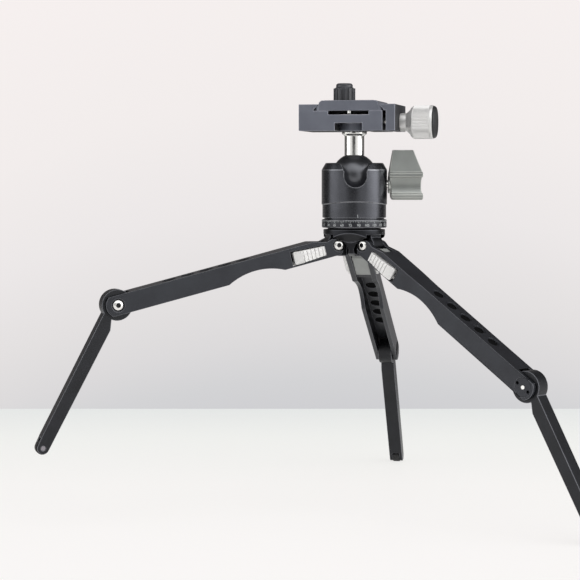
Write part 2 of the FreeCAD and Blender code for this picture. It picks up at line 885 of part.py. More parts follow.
# Hub: a round head seat over three tongues that carry the hip screws
hub = new_body("hub")
turned(hub, [
    (0, s.hub_bottom),
    (s.hub_tip_radius, s.hub_bottom),
    (s.hub_neck_radius, s.hub_neck_level),
    (s.hub_waist_radius, s.hub_waist_level),
    (s.hub_skirt_radius, s.hub_skirt_level),
    (s.hub_radius, s.hub_rim_bottom),
    (s.hub_radius, s.hub_rim_top),
    (s.hub_collar_radius, s.hub_rim_top),
    (s.hub_collar_radius, s.hub_top),
    (0, s.hub_top),
])
slot_half = s.cheek_half_width + s.hub_slot_clearance
slot_inner = s.hip_radius - s.leg_half_height - s.hub_slot_clearance
slot = pocket(hub, "XY", s.hub_bottom - 1, s.hub_slot_top,
              box_outline(slot_inner, s.hub_radius + 1, -slot_half, slot_half))
doc.recompute()
slots = around(hub, [slot], s.legs)
doc.recompute()
# A sloping flat between each two slots lets the rim run in to the waist
scoop_slope = (s.hub_scoop_top - s.hub_scoop_level) / (s.hub_radius - s.hub_scoop_radius)
scoop = pocket(hub, "XZ", -slot_half - 3, slot_half + 3, [
    (s.hub_scoop_radius, s.hub_bottom),
    (s.hub_radius + 1, s.hub_bottom),
    (s.hub_radius + 1, s.hub_scoop_top + scoop_slope),
    (s.hub_scoop_radius, s.hub_scoop_level),
], turn=LEG_STEP / 2)
doc.recompute()
around(hub, [scoop], s.legs)
doc.recompute()
tongue_half = s.channel_half_width - s.side_clearance
shoulder = s.tongue_corner
tongue = pad(hub, "XZ", -tongue_half, tongue_half, [
    (slot_inner - 1, -s.tongue_radius),
    (s.hip_radius, -s.tongue_radius),
    (s.hip_radius + shoulder, shoulder, s.tongue_radius),
    (s.hip_radius + shoulder, s.hub_slot_top + 0.2),
    (slot_inner - 1, s.hub_slot_top + 0.2),
])
doc.recompute()
around(hub, [tongue], s.legs)
doc.recompute()
hip_bore = pocket(hub, "XZ", -tongue_half - 0.01, tongue_half + 0.01,
                  (s.hip_radius, 0, s.shoulder_radius + s.running_clearance / 2))


def notch_outline(angle):
    """A notch across the tongue's rim for the slider's nose, at one angle of the leg."""
    out, side = (cosine(angle), -sine(angle)), (sine(angle), cosine(angle))
    deep, edge = s.tongue_radius - s.notch_depth, s.tongue_radius + 1
    half = s.notch_half_width
    narrow = s.notch_taper * half
    corners = [(deep, -narrow), (edge, -half), (edge, half), (deep, narrow)]
    return [(s.hip_radius + out[0] * far + side[0] * off, out[1] * far + side[1] * off)
            for far, off in corners]


notches = pocket(hub, "XZ", -tongue_half - 0.01, tongue_half + 0.01,
                 notch_outline(s.hip_angle_left), notch_outline(s.hip_angle_other),
                 notch_outline(s.lock_angle_low), notch_outline(s.folded_hip_angle))
doc.recompute()
around(hub, [hip_bore, notches], s.legs)
doc.recompute()
pocket(hub, "XY", s.hub_bottom - 1, s.hub_top + 1, (0, 0, s.head_bolt_radius + s.running_clearance))
pocket(hub, "XY", s.hub_bottom - 1, s.hub_bottom + s.head_bolt_head_height,
       (0, 0, s.head_bolt_head_radius + s.side_clearance))
keep(hub, ON_AXIS.multiply(Placement(Vector(), Rotation(Vector(0, 0, 1), azimuth_of(0)))))

head_bolt = new_body("head_bolt")
bolt_seat = s.hub_bottom + s.head_bolt_head_height
turned(head_bolt, [
    (0, s.hub_bottom),
    (s.head_bolt_head_radius, s.hub_bottom),
    (s.head_bolt_head_radius, bolt_seat),
    (s.head_bolt_radius, bolt_seat),
    (s.head_bolt_radius, s.head_bolt_end),
    (0, s.head_bolt_end),
])
pocket(head_bolt, "XY", s.hub_bottom - 1,
       s.hub_bottom + s.socket_depth_share * s.head_bolt_head_height,
       (0, 0, s.socket_share * s.head_bolt_head_radius))
keep(head_bolt, ON_AXIS)

# The set screw that keeps the head from turning on the hub is flush with the hub's rim
set_screw = make_cylinder("hub_set_screw", s.set_screw_radius,
                          s.hub_radius - s.set_screw_length, s.hub_radius - 0.2)
set_screw_turn = Rotation(Vector(0, 0, 1), s.set_screw_azimuth.value)
at_set_screw = ON_AXIS.multiply(
    Placement(Vector(0, 0, s.set_screw_level.value), set_screw_turn)).multiply(ALONG_X)
keep(set_screw, at_set_screw)
# The hub lies along its first leg, so the bore is turned back to the screw
pocket(hub, "XZ", -s.hub_radius - 1, s.set_screw_length - s.hub_radius,
       (0, s.set_screw_level, s.set_screw_radius + s.running_clearance / 2),
       turn=90 + s.set_screw_azimuth.value - azimuth_of(0))


# Panning base: the scale ring stays with the hub, and the housing turns on its spigot
pan_base = new_body("pan_base")
turned(pan_base, [
    (0, s.ring_bottom),
    (s.ring_radius - s.ring_edge, s.ring_bottom),
    (s.ring_radius, s.ring_bottom + s.ring_edge),
    (s.ring_radius, s.ring_top - s.ring_edge),
    (s.ring_radius - s.ring_edge, s.ring_top),
    (s.spigot_radius, s.ring_top),
    (s.spigot_radius, s.spigot_top),
    (0, s.spigot_top),
])
pocket(pan_base, "XY", s.ring_bottom - 1, s.head_bolt_end + 0.3,
       (0, 0, s.head_bolt_radius + s.running_clearance))
keep(pan_base, ON_AXIS)

keep(make_cylinder("pan_washer", s.washer_radius, s.ring_top, s.washer_top,
                   s.spigot_radius + s.spigot_fit), ON_AXIS)

# Housing: a turned shell round the ball with a drop notch at the front
housing = new_body("housing")
housing_bottom = s.washer_top + s.washer_gap
turned(housing, [
    (0, housing_bottom),
    (s.housing_radius, housing_bottom),
    (s.housing_radius, s.housing_top - s.housing_edge_drop),
    (s.housing_radius - s.housing_edge_inset, s.housing_top),
    (0, s.housing_top),
])
# Below a shallow arc the shell stands back a little, down to the scale ring
half_chord = s.housing_radius + 1
arc_drop = s.apron_arc_radius - root(s.apron_arc_radius * s.apron_arc_radius - half_chord * half_chord)
arc_ends = s.apron_level - arc_drop
pocket(housing, "XZ", -half_chord, half_chord, [
    (-half_chord, housing_bottom - 1),
    (half_chord, housing_bottom - 1),
    (half_chord, arc_ends),
    (-half_chord, arc_ends, s.apron_arc_radius),
])
turned(housing, box_outline(0, s.housing_radius - s.apron_depth, housing_bottom,
                            s.apron_level + 0.1))
socket = s.ball_radius + s.ball_fit
seat_drop = s.ball_level - s.seat_bore_top
rim_rise = s.housing_top - s.ball_level + 1
seat_reach = root(socket * socket - seat_drop * seat_drop)
rim_reach = root(socket * socket - rim_rise * rim_rise)
grooved(housing, [
    (0, s.seat_bore_bottom),
    (s.seat_bore_radius, s.seat_bore_bottom),
    (s.seat_bore_radius, s.seat_bore_top),
    (seat_reach, s.seat_bore_top),
    (rim_reach, s.housing_top + 1, socket),
    (0, s.housing_top + 1),
])
pocket(housing, "XY", housing_bottom - 1, s.spigot_top + 0.3,
       (0, 0, s.spigot_radius + s.spigot_fit))
drop_half = s.stem_radius + s.notch_clearance
shoulder_level = s.housing_top - s.flare_shoulder_drop
pocket(housing, "XZ", -s.housing_radius - 1, 0, [
    (-drop_half, s.ball_level),
    (drop_half, s.ball_level, drop_half),
    (drop_half, s.housing_top - s.flare_drop),
    (s.flare_shoulder_half_width, shoulder_level, -2 * s.flare_drop),
    (s.flare_half_width, s.housing_top + 0.01, -s.flare_drop),
    (s.flare_half_width, s.housing_top + 1),
    (-s.flare_half_width, s.housing_top + 1),
    (-s.flare_half_width, s.housing_top + 0.01),
    (-s.flare_shoulder_half_width, shoulder_level, -s.flare_drop),
    (-drop_half, s.housing_top - s.flare_drop, -2 * s.flare_drop),
])
screw_bore = s.lock_screw_radius + s.side_clearance
pocket(housing, "YZ", s.lock_bore_start, s.housing_radius + 1, (0, s.lock_level, screw_bore))
plunger_start = s.ball_radius + s.ball_fit
pocket(housing, "YZ", s.lock_bore_start, plunger_start + s.plunger_length + s.plunger_room,
       (0, s.lock_level, s.plunger_radius + s.side_clearance))
keep(housing, ON_AXIS)

ball_seat = new_body("ball_seat")
seat_outer = s.seat_bore_radius - s.seat_fit
outer_rise = root(socket * socket - seat_outer * seat_outer)
inner_rise = root(socket * socket - s.seat_inner_radius * s.seat_inner_radius)
turned(ball_seat, [
    (s.seat_inner_radius, s.seat_bore_bottom),
    (seat_outer, s.seat_bore_bottom),
    (seat_outer, s.ball_level - outer_rise),
    (s.seat_inner_radius, s.ball_level - inner_rise, -socket),
])
keep(ball_seat, ON_AXIS)

ball = doc.addObject("Part::Sphere", "ball")
ball.Label = "ball"
bind(ball, "Radius", s.ball_radius)
keep(ball, ON_AXIS.multiply(Placement(Vector(0, 0, s.ball_level.value), Rotation())))

# Ball lock: the wing knob drives a screw that presses a plunger on the ball
at_lock = ON_AXIS.multiply(Placement(Vector(0, 0, s.lock_level.value), Rotation())).multiply(ALONG_X)
keep(make_cylinder("lock_plunger", s.plunger_radius, plunger_start,
                   plunger_start + s.plunger_length), at_lock)
keep(make_cylinder("lock_screw", s.lock_screw_radius, s.lock_screw_start, s.lock_screw_end), at_lock)

wing = new_body("wing_knob")
wing_start = s.wing_inner + s.wing_boss_length
pad(wing, "YZ", wing_start, s.wing_outer, [
    (-s.wing_foot_half_width, s.wing_bottom),
    (s.wing_foot_half_width, s.wing_bottom),
    (s.wing_lip_half_width, s.wing_lip_level),
    (s.wing_ledge_half_width, s.wing_scoop_bottom),
    (s.wing_ledge_half_width, s.wing_shoulder - s.wing_ledge_height, -s.wing_scoop_radius),
    (s.wing_ledge_half_width, s.wing_shoulder),
    (s.wing_blade_half_width, s.wing_shoulder + 0.8),
    (s.wing_tip_half_width, s.wing_top),
    (-s.wing_tip_half_width, s.wing_top),
    (-s.wing_blade_half_width, s.wing_shoulder + 0.8),
    (-s.wing_ledge_half_width, s.wing_shoulder),
    (-s.wing_ledge_half_width, s.wing_shoulder - s.wing_ledge_height),
    (-s.wing_ledge_half_width, s.wing_scoop_bottom, -s.wing_scoop_radius),
    (-s.wing_lip_half_width, s.wing_lip_level),
])
beyond = s.wing_ledge_half_width + 2
pocket(wing, "XZ", -beyond, beyond, [
    (s.wing_tip_outer, s.wing_top),
    (s.wing_outer, s.wing_shoulder),
    (s.wing_outer + 1, s.wing_shoulder),
    (s.wing_outer + 1, s.wing_top + 1),
    (s.wing_tip_outer, s.wing_top + 1),
])
pad(wing, "YZ", s.wing_inner, wing_start + 0.1, (0, s.lock_level, s.wing_boss_radius))
pocket(wing, "YZ", s.wing_inner - 1, s.lock_screw_end,
       (0, s.lock_level, s.lock_screw_radius + s.running_clearance / 2))
keep(wing, ON_AXIS)

# Stem: polished, seated on the ball, with a flange under the clamp
stem = new_body("stem")
stem_rise = root(socket * socket - s.stem_radius * s.stem_radius)
bore = s.clamp_bolt_radius + s.side_clearance
turned(stem, [
    (0, s.ball_level + socket),
    (s.stem_radius, s.ball_level + stem_rise, -socket),
    (s.stem_radius, s.stem_flange_start),
    (s.stem_flange_radius, s.stem_flange_start + s.stem_flange_rise),
    (s.stem_flange_radius, s.stem_top),
    (0, s.stem_top),
])
pocket(stem, "XY", s.stem_bore_end, s.stem_top + 1, (0, 0, bore))
keep(stem, ON_AXIS)

# Clamp body: fixed jaw on the left, dovetail floor, channel, and a notch round the stem boss
clamp = new_body("clamp_body")
deep = s.clamp_half_depth
floor = s.dovetail_floor
lip = s.plate_neck_half_width + s.dovetail_fit
corner = s.dovetail_half_width + s.dovetail_fit
pad(clamp, "XZ", -deep, deep, [
    (-s.clamp_left, s.clamp_bottom),
    (s.clamp_right, s.clamp_bottom),
    (s.clamp_right, floor),
    (s.clamp_channel_half_width, floor),
    (s.clamp_channel_half_width, s.channel_floor),
    (-s.clamp_channel_half_width, s.channel_floor),
    (-s.clamp_channel_half_width, floor),
    (-corner, floor),
    (-corner, floor + s.dovetail_edge + s.dovetail_fit),
    (-lip, s.clamp_top),
    (-s.clamp_left, s.clamp_top),
])
boss, half = s.boss_radius, s.boss_notch_half_width
notch_end = root(boss * boss - half * half)
for side in (-1, 1):
    pocket(clamp, "XY", s.clamp_bottom - 1, s.clamp_bottom + s.boss_notch_height, [
        (side * half, side * (deep + 1)),
        (-side * half, side * (deep + 1)),
        (-side * half, side * notch_end),
        (side * half, side * notch_end, -boss),
    ])
bolt_head_level = s.channel_floor - s.clamp_bolt_head_height
pocket(clamp, "XY", s.clamp_bottom - 1, s.channel_floor + 1,
       (0, 0, s.clamp_bolt_radius + s.running_clearance))
pocket(clamp, "XY", bolt_head_level, s.channel_floor + 1,
       (0, 0, s.clamp_bolt_head_radius + s.running_clearance))
pocket(clamp, "YZ", s.clamp_screw_bore_end, s.clamp_right + 1,
       (0, s.screw_level, s.clamp_screw_radius + s.side_clearance))
guide_places = (-s.guide_offset, s.guide_offset)
pocket(clamp, "YZ", s.guide_start, s.clamp_right + 1,
       *[(place, s.screw_level, s.guide_radius + s.running_clearance / 2) for place in guide_places])
pocket(clamp, "YZ", s.clamp_right - s.guide_spring_depth, s.clamp_right + 1,
       *[(place, s.screw_level, s.guide_spring_bore) for place in guide_places])
keep(clamp, CLAMP_PLACE)

clamp_bolt = new_body("clamp_bolt")
turned(clamp_bolt, [
    (0, s.clamp_bolt_end),
    (s.clamp_bolt_radius, s.clamp_bolt_end),
    (s.clamp_bolt_radius, bolt_head_level),
    (s.clamp_bolt_head_radius, bolt_head_level),
    (s.clamp_bolt_head_radius, s.channel_floor - 0.1),
    (0, s.channel_floor - 0.1),
])
pocket(clamp_bolt, "XY", bolt_head_level + 0.3, s.channel_floor,
       (0, 0, s.socket_share * s.clamp_bolt_head_radius))
keep(clamp_bolt, CLAMP_PLACE)

# Moving jaw: slides on two guide pins, opened by springs and drawn in by the clamp screw
jaw = new_body("clamp_jaw")
jaw_inner = s.clamp_right + s.jaw_gap
jaw_outer = jaw_inner + s.jaw_thickness
hook_floor = floor + 2 * s.dovetail_fit
pad(jaw, "XZ", -deep, deep, [
    (jaw_inner, s.clamp_bottom),
    (jaw_outer, s.clamp_bottom),
    (jaw_outer, s.clamp_top),
    (lip, s.clamp_top),
    (corner, floor + s.dovetail_edge + s.dovetail_fit),
    (corner, hook_floor),
    (jaw_inner, hook_floor),
])
pocket(jaw, "YZ", jaw_inner - 1, jaw_outer + 1,
       (0, s.screw_level, s.clamp_screw_radius + s.side_clearance))
pocket(jaw, "YZ", jaw_inner - 1, s.guide_end + 0.2,
       *[(place, s.screw_level, s.guide_radius + s.running_clearance) for place in guide_places])
keep(jaw, CLAMP_PLACE)

at_screw = CLAMP_PLACE.multiply(Placement(Vector(0, 0, s.screw_level.value), Rotation()))
pins = []
springs = []
for place in guide_places:
    pin = make_cylinder("guide_pin", s.guide_radius, s.guide_start, s.guide_end)
    pin.Placement = Placement(Vector(0, place.value, 0), Rotation()).multiply(ALONG_X)
    pins.append(pin)
    spring = coil("jaw_spring", s.guide_spring_coil, s.guide_spring_half_wire, s.guide_spring_pitch,
                  s.guide_spring_depth.value - 0.1)
    spring_start = s.clamp_right.value - s.guide_spring_depth.value + s.guide_spring_half_wire.value
    spring.Placement = Placement(Vector(spring_start, place.value, 0), Rotation()).multiply(ALONG_X)
    springs.append(spring)
keep(grouped("guide_pins", pins), at_screw)
keep(grouped("jaw_springs", springs), at_screw)

# Clamp screw with its collar, knob and end cap
knob_start = jaw_outer + s.collar_length + s.collar_flare_length
knob_end = knob_start + s.knob_length
screw_end = knob_start + s.knob_screw_depth
at_knob = at_screw.multiply(ALONG_X)
keep(make_cylinder("clamp_screw", s.clamp_screw_radius, s.clamp_screw_start, screw_end), at_knob)

collar = new_body("knob_collar")
collar_start = jaw_outer + 0.1
hole = s.clamp_screw_radius + s.running_clearance / 2
turned(collar, [
    (hole, collar_start),
    (s.collar_radius, collar_start),
    (s.collar_radius, jaw_outer + s.collar_length),
    (s.collar_flare, knob_start),
    (hole, knob_start),
])
keep(collar, at_knob)

knob = new_body("clamp_knob")
cap_floor = knob_end - s.knob_cap_recess
turned(knob, [
    (hole, knob_start),
    (s.knob_radius - s.knob_back_edge, knob_start),
    (s.knob_radius, knob_start + s.knob_back_edge),
    (s.knob_radius, knob_end - s.knob_front_edge),
    (s.knob_radius - s.knob_front_edge, knob_end),
    (s.knob_cap_radius, knob_end),
    (s.knob_cap_radius, cap_floor),
    (0, cap_floor),
    (0, screw_end),
    (hole, screw_end),
])
keep(knob, at_knob)
keep(make_cylinder("knob_cap", s.knob_cap_radius - s.running_clearance, cap_floor,
                   cap_floor + s.knob_cap_thickness), at_knob)

# Quick-release plate: a dovetail with round corners and a slot for the camera screw
plate = new_body("dovetail_plate")
plate_low = floor + s.dovetail_fit
long_half = s.plate_half_length
pad(plate, "XZ", -long_half, long_half, [
    (-s.dovetail_half_width, plate_low),
    (s.dovetail_half_width, plate_low),
    (s.dovetail_half_width, plate_low + s.dovetail_edge),
    (s.plate_neck_half_width, s.plate_neck_level),
    (s.plate_neck_half_width, s.plate_shoulder),
    (s.plate_top_half_width, s.plate_top),
    (-s.plate_top_half_width, s.plate_top),
    (-s.plate_neck_half_width, s.plate_shoulder),
    (-s.plate_neck_half_width, s.plate_neck_level),
    (-s.dovetail_half_width, plate_low + s.dovetail_edge),
])
for across in (-1, 1):
    for ahead in (-1, 1):
        side_x, side_y = across * s.dovetail_half_width, ahead * long_half
        in_x = side_x - across * s.plate_corner
        in_y = side_y - ahead * s.plate_corner
        turn = -across * ahead * s.plate_corner
        pocket(plate, "XY", plate_low - 1, s.plate_top + 1, [
            (side_x + across * 1, in_y),
            (side_x, in_y),
            (in_x, side_y, -turn),
            (in_x, side_y + ahead * 1),
            (side_x + across * 1, side_y + ahead * 1),
        ])
pocket(plate, "XY", plate_low - 1, s.plate_top + 1, slot_outline(s.slot_half_length, s.slot_half_width))
pocket(plate, "XY", plate_low - 1, s.screw_recess_top,
       slot_outline(s.slot_half_length, s.screw_recess_radius))
pad_floor = s.plate_top - s.plate_pad_recess
pad_wide, pad_long = s.plate_pad_half_width, s.plate_pad_half_length
pocket(plate, "XY", pad_floor, s.plate_top + 1, box_outline(-pad_wide, pad_wide, -pad_long, pad_long))
stop_place = long_half - s.stop_screw_inset
pocket(plate, "XY", plate_low - 1, pad_floor - 1.2,
       (0, stop_place, s.stop_screw_radius + s.running_clearance / 2),
       (0, -stop_place, s.stop_screw_radius + s.running_clearance / 2))
keep(plate, CLAMP_PLACE)

plate_pad = new_body("plate_pad")
in_wide, in_long = pad_wide - s.running_clearance, pad_long - s.running_clearance
pad(plate_pad, "XY", pad_floor, s.plate_top + s.plate_pad_proud,
    box_outline(-in_wide, in_wide, -in_long, in_long),
    slot_outline(s.slot_half_length, s.pad_opening_radius))
keep(plate_pad, CLAMP_PLACE)

stop_screws = []
for side in (-1, 1):
    stop = make_cylinder("stop_screw", s.stop_screw_radius, plate_low - s.stop_screw_drop,
                         pad_floor - 1.3)
    stop.Placement = Placement(Vector(0, side * stop_place.value, 0), Rotation())
    stop_screws.append(stop)
keep(grouped("stop_screws", stop_screws), CLAMP_PLACE)

# Camera screw, the retainer that slides with it in the plate, and its ribbed cap
at_camera_screw = CLAMP_PLACE.multiply(Placement(Vector(s.screw_offset.value, 0, 0), Rotation()))
gap = s.side_clearance
retainer_low = s.screw_recess_top - gap - s.retainer_thickness
keep(make_cylinder("screw_retainer", s.retainer_outer_radius, retainer_low,
                   retainer_low + s.retainer_thickness, s.camera_screw_radius + gap), at_camera_screw)

camera_screw = new_body("camera_screw")
head_top = retainer_low - gap
head_low = head_top - s.camera_screw_head_height
screw_top = pad_floor + s.camera_screw_length
turned(camera_screw, [
    (0, head_low),
    (s.camera_screw_head_radius, head_low),
    (s.camera_screw_head_radius, head_top),
    (s.camera_screw_radius, head_top),
    (s.camera_screw_radius, screw_top - 0.5),
    (s.camera_screw_radius - 0.5, screw_top),
    (0, screw_top),
])
pocket(camera_screw, "XY", head_low - 1, head_low + 0.7 * s.camera_screw_head_height,
       box_outline(-s.camera_screw_head_radius - 1, s.camera_screw_head_radius + 1,
                   -0.7 * s.notch_half_width, 0.7 * s.notch_half_width))
keep(camera_screw, at_camera_screw)

cap = new_body("screw_cap")
cap_low = pad_floor + 0.1
turned(cap, [
    (s.cap_bore_radius, cap_low),
    (s.cap_radius, cap_low),
    (s.cap_radius, s.cap_rib_top),
    (s.cap_top_radius, s.cap_rib_top + 0.6),
    (s.cap_top_radius, s.cap_top - s.cap_top_edge),
    (s.cap_top_radius - s.cap_top_edge, s.cap_top),
    (0, s.cap_top),
    (0, s.cap_bore_top),
    (s.cap_bore_radius, s.cap_bore_top),
])
rib = pad(cap, "XY", cap_low, s.cap_rib_top,
          box_outline(s.cap_radius - 0.5, s.cap_rib_radius, -s.cap_rib_half_width,
                      s.cap_rib_half_width))
doc.recompute()
around(cap, [rib], s.cap_ribs)
keep(cap, at_camera_screw)

doc.recompute()

for thing in doc.Objects:
    bad = [state for state in thing.State if state in ("Invalid", "Error")]
    if bad:
        raise RuntimeError(f"{thing.Label} ({thing.Name}) is {bad}")
for body, before, feature in cuts:
    taken = before.Shape.Volume - feature.Shape.Volume
    if taken < 1e-3:
        raise RuntimeError(f"{feature.Name} of {body.Label} cuts nothing")

os.makedirs("parts", exist_ok=True)
for piece in kept:
    shape = piece.Shape
    if shape.isNull() or not shape.isValid() or not shape.Solids:
        raise RuntimeError(f"{piece.Label} has no valid solid")
    shape.exportStep(f"parts/{piece.Label}.step")
    print(piece.Label, len(shape.Solids), round(shape.Volume, 1))
print("hip level", round(HIP_LEVEL, 3), "pieces", len(kept))
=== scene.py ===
import json
import math

import bmesh
import bpy
from mathutils import Matrix, Vector


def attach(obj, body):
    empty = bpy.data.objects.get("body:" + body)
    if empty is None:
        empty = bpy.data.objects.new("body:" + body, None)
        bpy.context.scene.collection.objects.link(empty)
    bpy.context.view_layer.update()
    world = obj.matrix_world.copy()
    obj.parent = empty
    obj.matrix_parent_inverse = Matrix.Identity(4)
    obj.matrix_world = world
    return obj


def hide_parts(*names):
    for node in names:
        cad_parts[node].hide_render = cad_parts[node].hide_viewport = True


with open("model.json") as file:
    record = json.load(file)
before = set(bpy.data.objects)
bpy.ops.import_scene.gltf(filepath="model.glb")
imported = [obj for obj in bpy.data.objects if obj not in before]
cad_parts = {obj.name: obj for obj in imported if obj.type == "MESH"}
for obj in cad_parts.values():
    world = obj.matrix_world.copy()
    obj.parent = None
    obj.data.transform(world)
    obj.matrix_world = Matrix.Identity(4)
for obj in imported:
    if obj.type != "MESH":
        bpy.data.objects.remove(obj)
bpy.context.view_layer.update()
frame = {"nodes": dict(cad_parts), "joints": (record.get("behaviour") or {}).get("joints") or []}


# Studio: a pale wall and a white table top, both clear from behind, each painted greyer as
# painted shade: the wall towards the table and the table towards its far edge.
# Two tall soft panels, left and right of the camera, and one overhead give the light. The room
# behind the camera stays dark, as the dark stripe down the middle of the polished stem shows.
def linear(code):
    """A colour written as sRGB hex, as the linear values that Blender works in."""
    parts = [int(code[i:i + 2], 16) / 255 for i in (1, 3, 5)]
    return (*[p / 12.92 if p < 0.04045 else ((p + 0.055) / 1.055) ** 2.4 for p in parts], 1.0)


def add(tree, kind, settings, links):
    """A node with its settings, by property name, socket or ramp stops, and what feeds it."""
    node = tree.nodes.new(kind)
    for name, value in settings.items():
        if name == "stops":
            elements = node.color_ramp.elements
            while len(elements) < len(value):
                elements.new(0.5)
            for element, (position, code) in zip(elements, value):
                element.position = position
                element.color = linear(code)
        elif isinstance(name, str) and hasattr(node, name):
            setattr(node, name, value)
        else:
            node.inputs[name].default_value = value
    for name, source in links.items():
        tree.links.new(source, node.inputs[name])
    return node


def new_material(name):
    """An empty node material and the tree to fill."""
    material = bpy.data.materials.new(name)
    material.use_nodes = True
    material.node_tree.nodes.clear()
    return material, material.node_tree


def in_scene(name, data):
    """A new object in the scene, from its mesh, curve or camera data."""
    thing = bpy.data.objects.new(name, data)
    bpy.context.scene.collection.objects.link(thing)
    return thing


camera = in_scene("camera", bpy.data.cameras.new("camera"))
camera.data.lens = 111.7
camera.data.sensor_width = 36
camera.location = (-0.0352, -0.987, 0.1844)
camera.rotation_euler = (math.radians(90 - 3.738), 0, math.radians(0.0005))
bpy.context.scene.camera = camera
bpy.context.scene.view_settings.view_transform = "Standard"


def close_sheet(tree, place, surface):
    """The end of a sheet's material: clear from behind, where it would hide the object."""
    clear = add(tree, "ShaderNodeBsdfTransparent", {}, {})
    sides = add(tree, "ShaderNodeMixShader", {},
                {0: place.outputs["Backfacing"], 1: surface.outputs[0], 2: clear.outputs[0]})
    add(tree, "ShaderNodeOutputMaterial", {}, {"Surface": sides.outputs[0]})


table_edge, table_half = 0.411, 3.0
wall_foot, wall_top = -0.2, 1.0
wall, tree = new_material("wall_with_painted_shade")
place = add(tree, "ShaderNodeNewGeometry", {}, {})
spot = add(tree, "ShaderNodeSeparateXYZ", {}, {"Vector": place.outputs["Position"]})
aside = add(tree, "ShaderNodeMath", {"operation": "MULTIPLY"},
            {0: spot.outputs["X"], 1: spot.outputs["X"]})
height = add(tree, "ShaderNodeMath", {"operation": "MULTIPLY_ADD", 1: 0.8},
             {0: aside.outputs[0], 2: spot.outputs["Z"]})
# Painted shade: the wall is greyer towards the table, most of all in the middle.
tone = add(tree, "ShaderNodeValToRGB", {"stops": [
    (0.0, "#cfcfd2"), (0.023, "#d3d3d5"), (0.055, "#dcdadb"), (0.093, "#e3e0e0"),
    (0.16, "#ece8e8"), (0.24, "#f2edec"), (0.36, "#f6f0ef")]},
    {"Fac": height.outputs[0]}).outputs["Color"]
fade = add(tree, "ShaderNodeMapRange", {"From Min": 0.1, "From Max": 0.4, "To Min": 0.55,
                                        "To Max": 0.1}, {"Value": height.outputs[0]})
rays = add(tree, "ShaderNodeLightPath", {}, {})
level = add(tree, "ShaderNodeMath", {"operation": "MAXIMUM"},
            {0: fade.outputs[0], 1: rays.outputs["Is Camera Ray"]})
glow = add(tree, "ShaderNodeEmission", {}, {"Color": tone, "Strength": level.outputs[0]})
close_sheet(tree, place, glow)

table, tree = new_material("white_table_top")
place = add(tree, "ShaderNodeNewGeometry", {}, {})
depth = add(tree, "ShaderNodeSeparateXYZ", {}, {"Vector": place.outputs["Position"]}).outputs["Y"]
near = add(tree, "ShaderNodeMapRange", {"From Min": table_edge, "From Max": -0.35},
           {"Value": depth})
# Painted shade: the table top is greyer towards its far edge.
tone = add(tree, "ShaderNodeValToRGB", {"stops": [
    (0.0, "#e2e5e4"), (0.2, "#f1f2ef"), (0.45, "#fcfaf8"), (0.75, "#fffcfb"), (1.0, "#fffefc")]},
    {"Fac": near.outputs[0]})
shown = add(tree, "ShaderNodeEmission", {"Strength": 1.0}, {"Color": tone.outputs["Color"]})
lit = add(tree, "ShaderNodeBsdfPrincipled",
          {"Roughness": 0.5, "Base Color": linear("#fafaf8")}, {})
rays = add(tree, "ShaderNodeLightPath", {}, {})
seen = add(tree, "ShaderNodeMath", {"operation": "MAXIMUM"},
           {0: rays.outputs["Is Camera Ray"], 1: rays.outputs["Is Glossy Ray"]})
share = add(tree, "ShaderNodeMath", {"operation": "MULTIPLY", 1: 0.75}, {0: seen.outputs[0]})
both = add(tree, "ShaderNodeMixShader", {},
           {0: share.outputs[0], 1: lit.outputs[0], 2: shown.outputs[0]})
close_sheet(tree, place, both)


def flat_sheet(name, corners, material):
    """A four-cornered sheet of the studio."""
    mesh = bpy.data.meshes.new(name)
    mesh.from_pydata(corners, [], [(0, 1, 2, 3)])
    mesh.materials.append(material)
    sheet = in_scene(name, mesh)
    return sheet


flat_sheet("table_top", [(-table_half, -table_half, 0), (table_half, -table_half, 0),
                         (table_half, table_edge, 0), (-table_half, table_edge, 0)], table)
backdrop = flat_sheet("wall", [
    (-table_half, table_edge, wall_foot), (table_half, table_edge, wall_foot),
    (table_half, table_edge, wall_top), (-table_half, table_edge, wall_top)], wall)
backdrop.visible_shadow = False

# Light of the studio: the panels' brightness by bearing from the camera's side, in radians, and
# by height. The right-hand side is brighter, and the camera sees a plain pale room instead.
panel_turn, panel_strength, right_gain = 0.15, 2.2, 2.0
world = bpy.data.worlds.new("studio")
bpy.context.scene.world = world
world.use_nodes = True
tree = world.node_tree
tree.nodes.clear()
way = add(tree, "ShaderNodeTexCoord", {}, {}).outputs["Generated"]
parts = add(tree, "ShaderNodeSeparateXYZ", {}, {"Vector": way})
front = add(tree, "ShaderNodeMath", {"operation": "MULTIPLY", 1: -1.0}, {0: parts.outputs["Y"]})
bearing = add(tree, "ShaderNodeMath", {"operation": "ARCTAN2"},
              {0: parts.outputs["X"], 1: front.outputs[0]})
shifted = add(tree, "ShaderNodeMath", {"operation": "ADD", 1: panel_turn},
              {0: bearing.outputs[0]})
aside = add(tree, "ShaderNodeMath", {"operation": "ABSOLUTE"}, {0: shifted.outputs[0]})
turned = add(tree, "ShaderNodeMapRange", {"From Min": 0.0, "From Max": math.pi},
             {"Value": aside.outputs[0]})
panels = add(tree, "ShaderNodeValToRGB", {"stops": [
    (0.0, "#141414"), (0.07, "#202020"), (0.13, "#b0b0b0"), (0.25, "#c4c4c4"), (0.34, "#ffffff"),
    (0.52, "#ffffff"), (0.6, "#585858"), (1.0, "#484848")]}, {"Fac": turned.outputs[0]})
rise = add(tree, "ShaderNodeMapRange", {"From Min": -1.0, "From Max": 1.0},
           {"Value": parts.outputs["Z"]})
low = add(tree, "ShaderNodeValToRGB", {"stops": [
    (0.0, "#303030"), (0.5, "#ffffff"), (0.72, "#ffffff"), (0.9, "#303030")]},
    {"Fac": rise.outputs[0]})
side_light = add(tree, "ShaderNodeMix", {"data_type": "RGBA", "blend_type": "MULTIPLY", 0: 1.0},
                 {6: panels.outputs["Color"], 7: low.outputs["Color"]})
toward = add(tree, "ShaderNodeVectorMath", {"operation": "DOT_PRODUCT", 1: (0.0, -0.5, 0.866)},
             {0: way})
